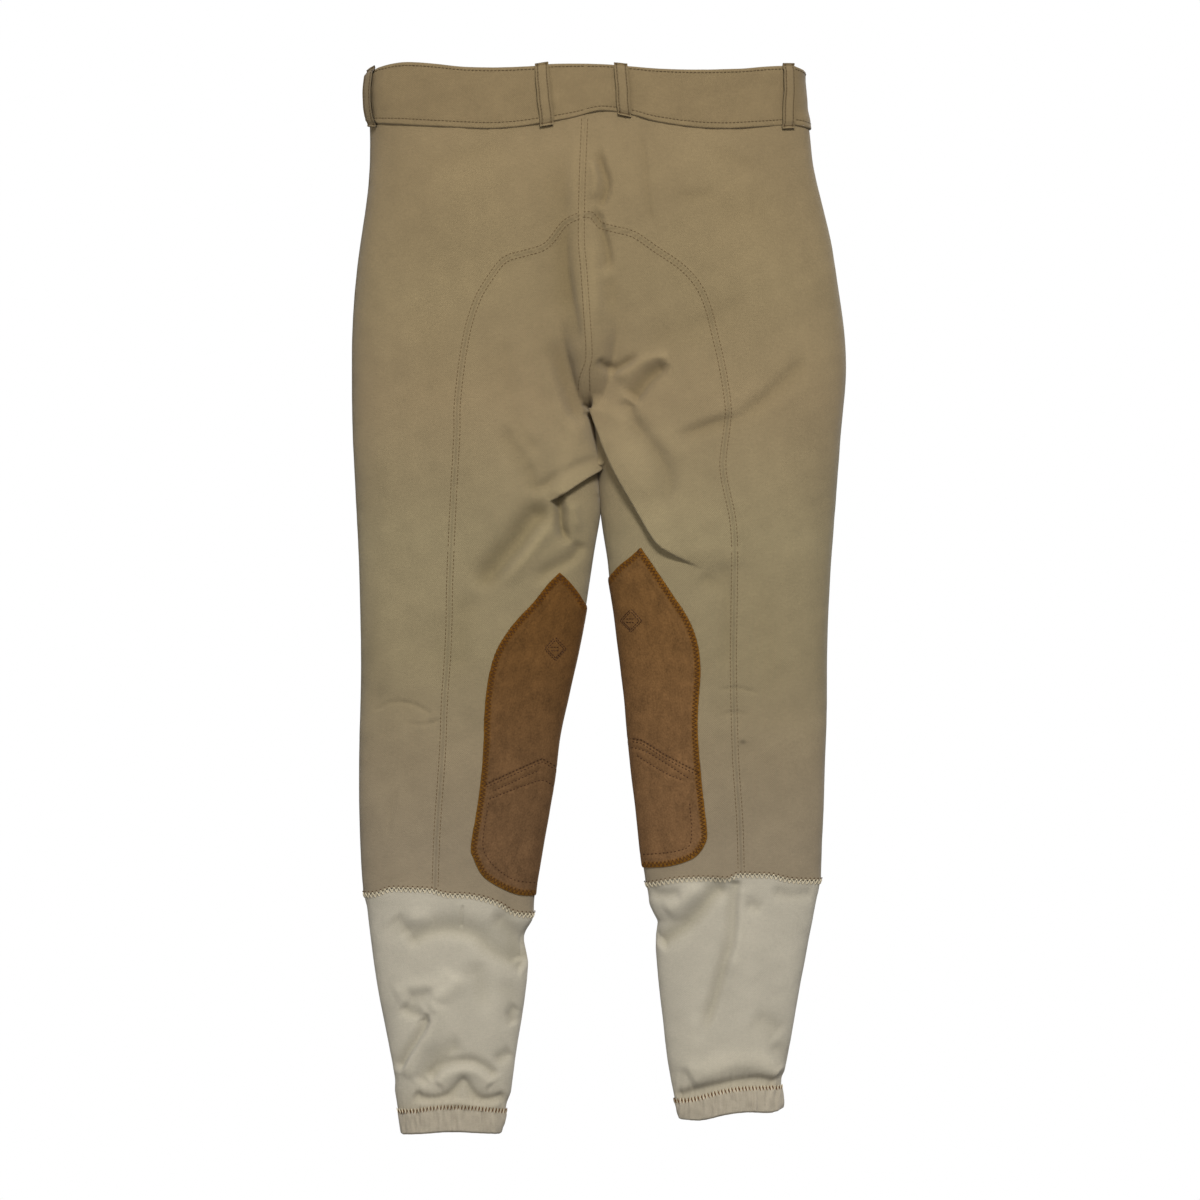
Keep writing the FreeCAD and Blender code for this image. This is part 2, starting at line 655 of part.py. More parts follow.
# ---------------------------------------------------------------- legs
def leg_section(side, sign, section):
    """Thigh or calf: three panels and its share of the suede knee patch. The back of
    the knee and the front of the hip are cut away so that the leg can fold."""
    key = "%s_%s" % (side, section)
    shell = tube_shell(key + "_cloth", key, 0, -cloth_thk)
    if section == "thigh":
        hip_notch = wide_box(key + "_notch_front", 0, hip_z, 200, 60)
        knee_notch = wide_box(key + "_notch_back", -200, knee_z - 30, 200, 66)
        shell = cut(key + "_open_hip", shell, hip_notch)
        patch_label = side + "_knee_patch_upper"
    else:
        knee_notch = wide_box(key + "_notch_back", -200, knee_z, 200, 40)
        patch_label = side + "_knee_patch_lower"
    shell = cut(key + "_open", shell, knee_notch)

    seam = LEG_SEAM[side]
    foot_z, head_z = seam[0][1], seam[-1][1]
    outer_x = SIDE_CLEAR * sign
    inner_x = -30 * sign
    outer = shifted(seam, sign * gap / 2) + [(outer_x, head_z), (outer_x, foot_z)]
    inner = shifted(seam, -sign * gap / 2) + [(inner_x, head_z), (inner_x, foot_z)]
    cloth_piece(key + "_back_panel", shell, outer, "back")
    cloth_piece(key + "_front_panel", shell, outer, "front")
    cloth_piece(key + "_inner_panel", shell, inner, "both")

    # the suede lies on the outside of the cloth
    suede = tube_shell(key + "_suede", key, ply_gap + suede_thk, ply_gap)
    cloth_piece(patch_label, cut(key + "_suede_open", suede, knee_notch),
                KNEE_PATCH[side], "both")


def hem(side):
    """A turned-up channel with an elastic band in it."""
    key = side + "_hem"
    low, high = (station["z"] for station in RINGS[key])
    ring = tube_shell(key + "_ring", key, 0, -3.2)
    channel = tube_shell(key + "_channel", key, -1.0, -2.2)
    above = wide_box(key + "_above", -200, low + 1.2, 400, 60)
    node(cut(key + "_c", ring, common(key + "_chan", channel, above)), key + "_band")
    elastic = tube_shell(key + "_elastic_ring", key, -1.1, -2.1)
    keep = wide_box(key + "_keep", -200, low + 1.4, 400, high - low - 3.0)
    node(common(key + "_elastic_c", elastic, keep), key + "_elastic")


for side, sign in SIDES:
    leg_section(side, sign, "thigh")
    leg_section(side, sign, "calf")
    node(tube_shell(side + "_sock_knit", side + "_sock", 0, -sock_thk),
         side + "_sock_bottom")
    hem(side)

# ---------------------------------------------------------------- check and write
doc.recompute()
bad = [o.Label for o in doc.Objects if any(s in ("Invalid", "Error") for s in o.State)]
if bad:
    raise SystemExit("objects failed: %s" % bad)
for piece in NODES:
    shape = piece.Shape
    if shape.isNull() or not shape.isValid() or not shape.Solids:
        raise SystemExit("bad shape: %s" % piece.Label)

os.makedirs("parts", exist_ok=True)
# clear pieces left by an earlier version of the pattern
wanted = {piece.Label + ".step" for piece in NODES}
for file_name in os.listdir("parts"):
    if file_name.endswith(".step") and file_name not in wanted:
        os.remove(os.path.join("parts", file_name))
for piece in NODES:
    shape = piece.Shape
    if len(shape.Solids) != 1 or shape.ShapeType != "Solid":
        shape = Part.makeCompound(shape.Solids)
    shape.exportStep(os.path.join("parts", piece.Label + ".step"))
print("wrote %d nodes" % len(NODES))
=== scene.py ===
"""Trousers with suede knee patches and knitted sock bottoms, worn on a row frame.

Lengths are in millimetres until a mesh is made in metres. x runs across, z up; the back
faces -y, towards the camera, and the front faces +y. "left" is the wearer's left, at -x.
Each half is a tube. A turn is the way round it: 0 at the inner edge, 0 to 0.5 across the
back, 0.5 at the outer edge, and on across the front to 1.
"""
import math
import bpy
import numpy as np
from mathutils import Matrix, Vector


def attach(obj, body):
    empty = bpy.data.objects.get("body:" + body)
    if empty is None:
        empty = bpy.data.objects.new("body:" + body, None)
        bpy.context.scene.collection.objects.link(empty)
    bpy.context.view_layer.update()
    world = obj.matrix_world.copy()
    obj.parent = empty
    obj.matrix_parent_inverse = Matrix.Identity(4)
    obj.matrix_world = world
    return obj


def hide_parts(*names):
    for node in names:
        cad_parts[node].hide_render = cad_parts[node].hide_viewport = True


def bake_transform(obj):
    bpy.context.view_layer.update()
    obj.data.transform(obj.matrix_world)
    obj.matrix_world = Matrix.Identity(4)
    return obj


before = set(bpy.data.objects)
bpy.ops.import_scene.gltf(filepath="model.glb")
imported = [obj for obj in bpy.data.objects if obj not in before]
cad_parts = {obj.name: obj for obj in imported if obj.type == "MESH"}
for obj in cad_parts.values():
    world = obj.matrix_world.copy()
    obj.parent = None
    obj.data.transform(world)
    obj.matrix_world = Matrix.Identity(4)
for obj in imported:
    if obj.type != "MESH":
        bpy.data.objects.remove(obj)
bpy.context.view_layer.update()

SIDES = ("left", "right")
INWARD = {"left": 1, "right": -1}  # which way along x the inner leg lies
CROTCH_Z = 655.0                   # below this each half is a closed tube
OPEN_TOP_Z = 728.0                 # the tubes start to close here
FRONT_X, SLIT_Z = -9.0, 758.0      # centre of the front opening and its lower end
CROTCH_X = -8.1
SPLIT_Z = 530.0                    # upper and lower panels meet here
TAU = 6.283
BACK_COLS, FRONT_COLS = ((240, 120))


# ------------------------------------------------------------------ outlines
Z_GRID = np.arange(-20.0, 1000.0, 0.5)


def blur(values, sigma):
    reach = int(4 * sigma / 0.5)
    k = np.arange(-reach, reach + 1) * 0.5
    weights = np.exp(-0.5 * (k / sigma) ** 2)
    weights /= weights.sum()
    return np.convolve(np.pad(values, len(k) // 2, mode="edge"), weights, mode="valid")


def on_z_grid(rows):
    z, v = np.array(rows, float)[::-1].T
    return np.interp(Z_GRID, z, v)


def outline(rows):
    """Smooth x(z) from (z, x) rows, with finer detail kept in the sock."""
    v = on_z_grid(rows)
    k = np.clip((Z_GRID - 205) / 20.0, 0, 1)
    v = blur(v, 9.0) * k + blur(v, 1.6) * (1 - k)
    return lambda z: np.interp(z, Z_GRID, v)


def depth(rows):
    """Smooth y(z) from (z, y) rows."""
    v = blur(on_z_grid(rows), 8.0)
    return lambda z: np.interp(z, Z_GRID, v)


# (z, x) down the outer edge of each half
OUTER = {
    "left": outline([
        (967.5, -206.1), (931.5, -207), (915.3, -207), (904.5, -206.1), (877.5, -206.1),
        (859.5, -207), (841.5, -208.8), (823.5, -211.5), (805.5, -214.2), (787.5, -216.9),
        (769.5, -218.7), (751.5, -220.5), (733.5, -221.4), (715.5, -222.3), (679.5, -222.3),
        (661.5, -222.3), (625.5, -221.4), (607.5, -220.5), (589.5, -219.6), (571.5, -218.7),
        (535.5, -216.9), (517.5, -216), (481.5, -215.1), (445.5, -214.2), (409.5, -214.2),
        (373.5, -215.1), (337.5, -216), (301.5, -216), (265.5, -215.1), (238.5, -213.75),
        (220.5, -212.4), (215.1, -211.5), (206.1, -208.8), (193.5, -207.45), (175.5, -205.2),
        (157.5, -202.95), (139.5, -200.25), (121.5, -197.1), (103.5, -193.5), (85.5, -189.9),
        (67.5, -186.3), (49.5, -183.33), (40.5, -183.78), (31.5, -182.25), (22.5, -180.9),
        (13.5, -179.28), (0, -177.3)]),
    "right": outline([
        (967.5, 183.6), (931.5, 185.4), (915.3, 187.2), (904.5, 189.9), (877.5, 191.7),
        (859.5, 195.3), (841.5, 199.8), (823.5, 204.3), (805.5, 208.8), (787.5, 211.5),
        (769.5, 214.2), (751.5, 216.9), (733.5, 219.6), (715.5, 221.4), (697.5, 222.3),
        (679.5, 222.3), (661.5, 220.5), (643.5, 218.7), (625.5, 216.9), (607.5, 216),
        (589.5, 214.2), (571.5, 213.3), (553.5, 211.5), (535.5, 210.6), (517.5, 208.8),
        (499.5, 207.9), (481.5, 207), (463.5, 206.1), (427.5, 205.2), (391.5, 205.2),
        (355.5, 204.3), (337.5, 203.4), (301.5, 202.5), (283.5, 201.6), (265.5, 200.7),
        (247.5, 200.25), (229.5, 199.8), (220.5, 198), (215.1, 196.02), (193.5, 192.15),
        (175.5, 188.55), (157.5, 185.4), (139.5, 181.8), (121.5, 178.65), (103.5, 175.5),
        (85.5, 172.35), (67.5, 169.02), (56.7, 166.77), (53.1, 164.25), (42.3, 163.8),
        (27.9, 165.96), (20.7, 164.7)])}
# (z, x) down the inner edge of each leg
INNER = {
    "left": outline([
        (663.3, -7.83), (634.5, -3.78), (598.5, -0.54), (571.5, 1.98), (560.7, 2.34),
        (551.7, 0.72), (535.5, -2.7), (517.5, -5.4), (499.5, -8.1), (481.5, -10.8),
        (463.5, -13.5), (445.5, -17.1), (427.5, -20.7), (409.5, -25.2), (391.5, -28.8),
        (373.5, -33.3), (355.5, -36.9), (337.5, -38.7), (319.5, -40.5), (301.5, -44.1),
        (283.5, -46.8), (265.5, -50.4), (247.5, -53.1), (229.5, -56.7), (211.5, -58.32),
        (199.8, -59.04), (193.5, -59.85), (184.5, -65.7), (180, -67.5), (174.6, -67.5),
        (166.5, -65.7), (155.7, -63.63), (139.5, -64.8), (121.5, -67.05), (103.5, -69.75),
        (85.5, -72.9), (67.5, -75.6), (49.5, -77.85), (38.7, -79.2), (28.8, -83.25),
        (19.8, -84.33), (0, -89.1)]),
    "right": outline([
        (663.3, -7.83), (634.5, -4.23), (598.5, -1.71), (571.5, 0), (560.7, 0.9),
        (552.6, 2.16), (535.5, 4.5), (517.5, 8.1), (499.5, 9), (481.5, 12.6), (463.5, 15.3),
        (445.5, 17.1), (427.5, 19.8), (409.5, 21.6), (391.5, 24.3), (373.5, 25.2),
        (355.5, 27), (337.5, 28.8), (319.5, 30.6), (301.5, 33.3), (283.5, 35.1),
        (265.5, 36.9), (247.5, 38.7), (229.5, 41.85), (220.5, 44.1), (208.8, 44.82),
        (199.8, 49.05), (192.6, 53.1), (187.2, 52.2), (180, 51.3), (167.4, 51.03),
        (139.5, 53.37), (121.5, 55.35), (103.5, 57.6), (85.5, 59.4), (67.5, 61.65),
        (49.5, 64.8), (31.5, 68.67), (22.5, 70.65), (13.5, 73.35)])}
# (z, x) down the centre back, where the two halves meet
CENTRE_BACK = outline([
    (967.5, -11.7), (913.5, -12.6), (859.5, -14.85), (804.6, -15.75), (776.7, -13.59),
    (735.3, -10.8), (708.3, -9), (693.9, -8.55), (675, -8.1), (661.5, -8.1)])
# (z, y) of the middle of the tube, and (z, half depth)
MID_Y = depth([(960, 7), (905, 4), (855, 0.5), (800, -1), (740, -1.3), (700, -2.2), (656, -3),
               (640, -3), (560, -1), (532, -0.5), (480, 0), (0, 0)])
UPPER_DEPTHS = [
    (960, 43.0), (905, 46), (855, 49), (800, 50.5), (740, 50.8), (700, 50), (656, 46),
    (640, 44), (560, 39.5), (532, 38), (480, 35.5), (420, 32.5), (361, 29.5), (300, 27.5),
    (250, 26.5)]
HALF_DEPTH = {
    "left": depth(UPPER_DEPTHS + [(208, 25.5), (190, 24.3), (140, 22), (90, 20), (45, 17.5),
                                  (26, 16), (0, 15)]),
    "right": depth(UPPER_DEPTHS + [(229, 26), (205, 24.6), (150, 22.3), (100, 20), (60, 17.9),
                                   (38, 16.2), (14, 15)])}
ROUNDNESS = 2.25  # exponent of the cross-section; 2 is an ellipse


# ------------------------------------------------------------------ bare tube
def round_profile(u):
    return np.clip(1 - np.abs(u) ** ROUNDNESS, 0, 1) ** (1 / ROUNDNESS)


def ease(v):
    v = np.clip(v, 0, 1)
    return v * v * (3 - 2 * v)


def closedness(z, turn):
    """0 where the two halves are one tube, 1 where each is a closed leg."""
    w = np.clip((OPEN_TOP_Z - z) / (OPEN_TOP_Z - CROTCH_Z), 0, 1)
    at_edge = 1 - np.sqrt(np.clip(1 - w * w, 0, 1))
    k = ease(turn / 0.07)
    return at_edge * (1 - k) + ease((830.0 - z) / 230.0) * k


def inner_x(side, z, front):
    if front:
        top = FRONT_X - INWARD[side] * 5.0 * ease((z - SLIT_Z + 4) / 6.0)
    else:
        top = CENTRE_BACK(z)
    k = ease((z - 652.0) / 14.0)
    return INNER[side](z) * (1 - k) + top * k


def section(turn, z):
    """Share of the way to the outer edge, and share of the half depth."""
    half_turn = np.where(turn <= 0.5, turn, 1 - turn)
    s = closedness(z, half_turn)
    across, c = np.sin(np.pi * half_turn), np.cos(2 * np.pi * half_turn)
    return ((1 - s) * across + s * (1 - c) / 2,
            (1 - s) * round_profile(across) + s * round_profile(c))


def tube_point(side, turn, z):
    turn, z = np.broadcast_arrays(np.asarray(turn, float), np.asarray(z, float))
    across, deep = section(turn, z)
    x_in = np.where(turn <= 0.5, inner_x(side, z, False), inner_x(side, z, True))
    x = x_in + (OUTER[side](z) - x_in) * across
    y = MID_Y(z) + np.where(turn <= 0.5, -1.0, 1.0) * HALF_DEPTH[side](z) * deep
    return np.stack([x, y, z], -1)


def turn_at(side, x, z, front=False):
    """The turn at a given x, on the back or the front, by bisection."""
    x, z = np.broadcast_arrays(np.asarray(x, float), np.asarray(z, float))
    x_in = inner_x(side, z, front)
    share = np.clip((x - x_in) / (OUTER[side](z) - x_in), 0, 1)
    lo, hi = np.zeros_like(share), np.full_like(share, 0.5)
    for _ in range(26):
        mid = (lo + hi) / 2
        below = section(mid, z)[0] < share
        lo, hi = np.where(below, mid, lo), np.where(below, hi, mid)
    return 1 - lo if front else lo


def tube_normal(side, turn, z):
    e = 1e-3
    turn, z = np.clip(np.asarray(turn, float), e, 1 - e), np.asarray(z)
    turn = np.where(np.abs(turn - 0.5) < e, 0.5 - e, turn)
    round_ = tube_point(side, turn + e, z) - tube_point(side, turn - e, z)
    up = tube_point(side, turn, z + 0.8) - tube_point(side, turn, z - 0.8)
    return unit(np.cross(round_, up)) * -INWARD[side]


def unit(v):
    return v / np.maximum(np.linalg.norm(v, axis=-1, keepdims=True), 1e-9)


# ------------------------------------------------------------------ lines on the cloth, (x, z)
def smooth_line(points, step=4.0):
    """A Catmull-Rom curve through the points."""
    p = np.array(points, float)
    out = []
    q = np.vstack([2 * p[0] - p[1], p, 2 * p[-1] - p[-2]])
    for i in range(1, len(q) - 2):
        a, b, c, d = q[i - 1:i + 3]
        n = max(1, int(np.hypot(*(c - b)) / step))
        for k in range(n):
            u = k / n
            out.append(0.5 * ((2 * b) + (-a + c) * u + (2 * a - 5 * b + 4 * c - d) * u * u
                              + (-a + 3 * b - 3 * c + d) * u ** 3))
    out.append(p[-1])
    return np.array(out)


def nearest(line, x, z):
    """Signed distance (positive left of the line's run), place along it, and its length."""
    best, signed, place = np.full(x.shape, 1e9), np.zeros(x.shape), np.zeros(x.shape)
    run = 0.0
    for (x0, z0), (x1, z1) in zip(line[:-1], line[1:]):
        dx, dz = x1 - x0, z1 - z0
        length = math.hypot(dx, dz)
        if length < 1e-9:
            continue
        u = np.clip(((x - x0) * dx + (z - z0) * dz) / length ** 2, 0, 1)
        dist = np.hypot(x - x0 - u * dx, z - z0 - u * dz)
        m = dist < best
        best = np.where(m, dist, best)
        signed = np.where(m, np.sign(dx * (z - z0) - dz * (x - x0)) * dist, signed)
        place = np.where(m, run + u * length, place)
        run += length
    return signed, place, run


def lap_axis(line, axis, x, z):
    """Signed distance off an edge that runs one way, with no ridge where it bends."""
    p = line[np.argsort(line[:, axis])]
    q, v = (z, x) if axis == 1 else (x, z)
    a, b = p[:, axis], p[:, 1 - axis]
    slope = np.convolve(np.pad(np.gradient(b, a), 2, mode="edge"), np.ones(5) / 5, mode="valid")
    run = np.concatenate([[0], np.cumsum(np.hypot(np.diff(a), np.diff(b)))])
    if line[0, axis] > line[-1, axis]:
        run = run[-1] - run
    sl = np.interp(q, a, slope)
    place = np.where((q < a[0]) | (q > a[-1]), 0.0, np.interp(q, a, run))
    c = 1 / np.sqrt(1 + sl * sl)
    nx, nz = (c, -sl * c) if axis == 1 else (-sl * c, c)
    return (v - np.interp(q, a, b)) * c, place, run.max(), nx, nz


def offset(line, distance):
    """The line moved to its left by a distance, or by one for each point."""
    p = np.asarray(line, float)
    g = unit(np.gradient(p, axis=0))
    return p + np.stack([-g[:, 1], g[:, 0]], 1) * distance


def run_lengths(line):
    steps = np.linalg.norm(np.diff(line, axis=0), axis=1)
    return np.concatenate([[0], np.cumsum(steps)])


def sample(line, lengths, at):
    return np.stack([np.interp(at, lengths, line[:, i]) for i in range(line.shape[1])], 1)


def walk(line, step, start=0.0):
    """Points every step along a line."""
    p = np.asarray(line, float)
    lengths = run_lengths(p)
    return sample(p, lengths, np.arange(start, lengths[-1], step))


def edges_of(polygon):
    p = np.asarray(polygon)
    return zip(p, np.roll(p, -1, 0))


def inside(polygon, x, z):
    c = np.zeros(x.shape, bool)
    for (x0, z0), (x1, z1) in edges_of(polygon):
        c ^= ((z0 > z) != (z1 > z)) & (x < x0 + (z - z0) * (x1 - x0) / (z1 - z0 + 1e-12))
    return c


def foot(polygon, x, z):
    """Distance to a polygon's edge, and the nearest point on it."""
    best, foot_x, foot_z = np.full(x.shape, 1e9), x.copy(), z.copy()
    for (x0, z0), (x1, z1) in edges_of(polygon):
        dx, dz = x1 - x0, z1 - z0
        square = dx * dx + dz * dz
        if square < 1e-12:
            continue
        u = np.clip(((x - x0) * dx + (z - z0) * dz) / square, 0, 1)
        qx, qz = x0 + u * dx, z0 + u * dz
        d = np.hypot(x - qx, z - qz)
        m = d < best
        best = np.where(m, d, best)
        foot_x, foot_z = np.where(m, qx, foot_x), np.where(m, qz, foot_z)
    return best, foot_x, foot_z


# ------------------------------------------------------------------ folds
def box_round(line, reach):
    (x0, z0), (x1, z1) = line.min(0), line.max(0)
    return x0 - reach, x1 + reach, z0 - reach, z1 + reach


def end_fade(place, length, fades, grow=0.0):
    return ease(place / (fades[0] + grow)) * ease((length - place) / (fades[1] + grow))


def ridge(height, halves, fades, points):
    """A rounded ridge, or a valley where height < 0: its box and its shape."""
    line = smooth_line(points)
    box = box_round(line, 3.2 * max(halves))
    # folds down in the sock are lower and wider
    gain, spread = (1.45, 1.0) if box[3] > 250 else (1.2, 1.4)

    def shape(x, z):
        off, place, length = nearest(line, x, z)
        half = np.where(off > 0, halves[0], halves[1]) * spread
        rise = gain * height * np.exp(-(off / half) ** 2) * end_fade(place, length, fades)
        return rise, 0.0, 0.0

    return box, shape


def lap(height, steepness, fades, fall, push, axis, points):
    """A lapped edge, raised on one side and pushed over the other: its box and its shape."""
    line = smooth_line(points)

    def shape(x, z):
        off, place, length, nx, nz = lap_axis(line, axis, x, z)
        over, under = np.maximum(off, 0), np.maximum(-off, 0)
        ends = end_fade(place, length, fades, 0.85 * over)
        up = 1 / (1 + np.exp(-np.clip(off / steepness, -30, 30)))
        rise = height * ends * (up * np.exp(-over / fall)
                                - 0.16 * np.exp(-under / 9.0) * (1 - up))
        lean = -push * ends * up * np.exp(-(over / 5.0) ** 1.5)
        return rise, lean * nx, lean * nz

    return box_round(line, 3.0 * fall), shape


# the two laps that meet below the crotch; axis 1 runs along z, axis 0 along x
LAPS = [
    lap(height=7.5, steepness=0.5, fades=(14, 46), fall=34, push=3.2, axis=1, points=[
        (-7.65, 667.8), (-4.5, 658.8), (-1.35, 649.8), (2.25, 638.1), (6.75, 625.5),
        (10.35, 615.6), (17.1, 598.95), (27.9, 577.35), (39.6, 555.3), (49.5, 538.2),
        (56.7, 530.1), (71.1, 520.2), (93.6, 507.6)]),
    lap(height=7.0, steepness=0.5, fades=(5, 8), fall=36, push=3.0, axis=0, points=[
        (6.3, 605.7), (1.35, 602.1), (-6.3, 596.25), (-16.2, 589.86), (-31.23, 578.97),
        (-45.36, 568.98)])]
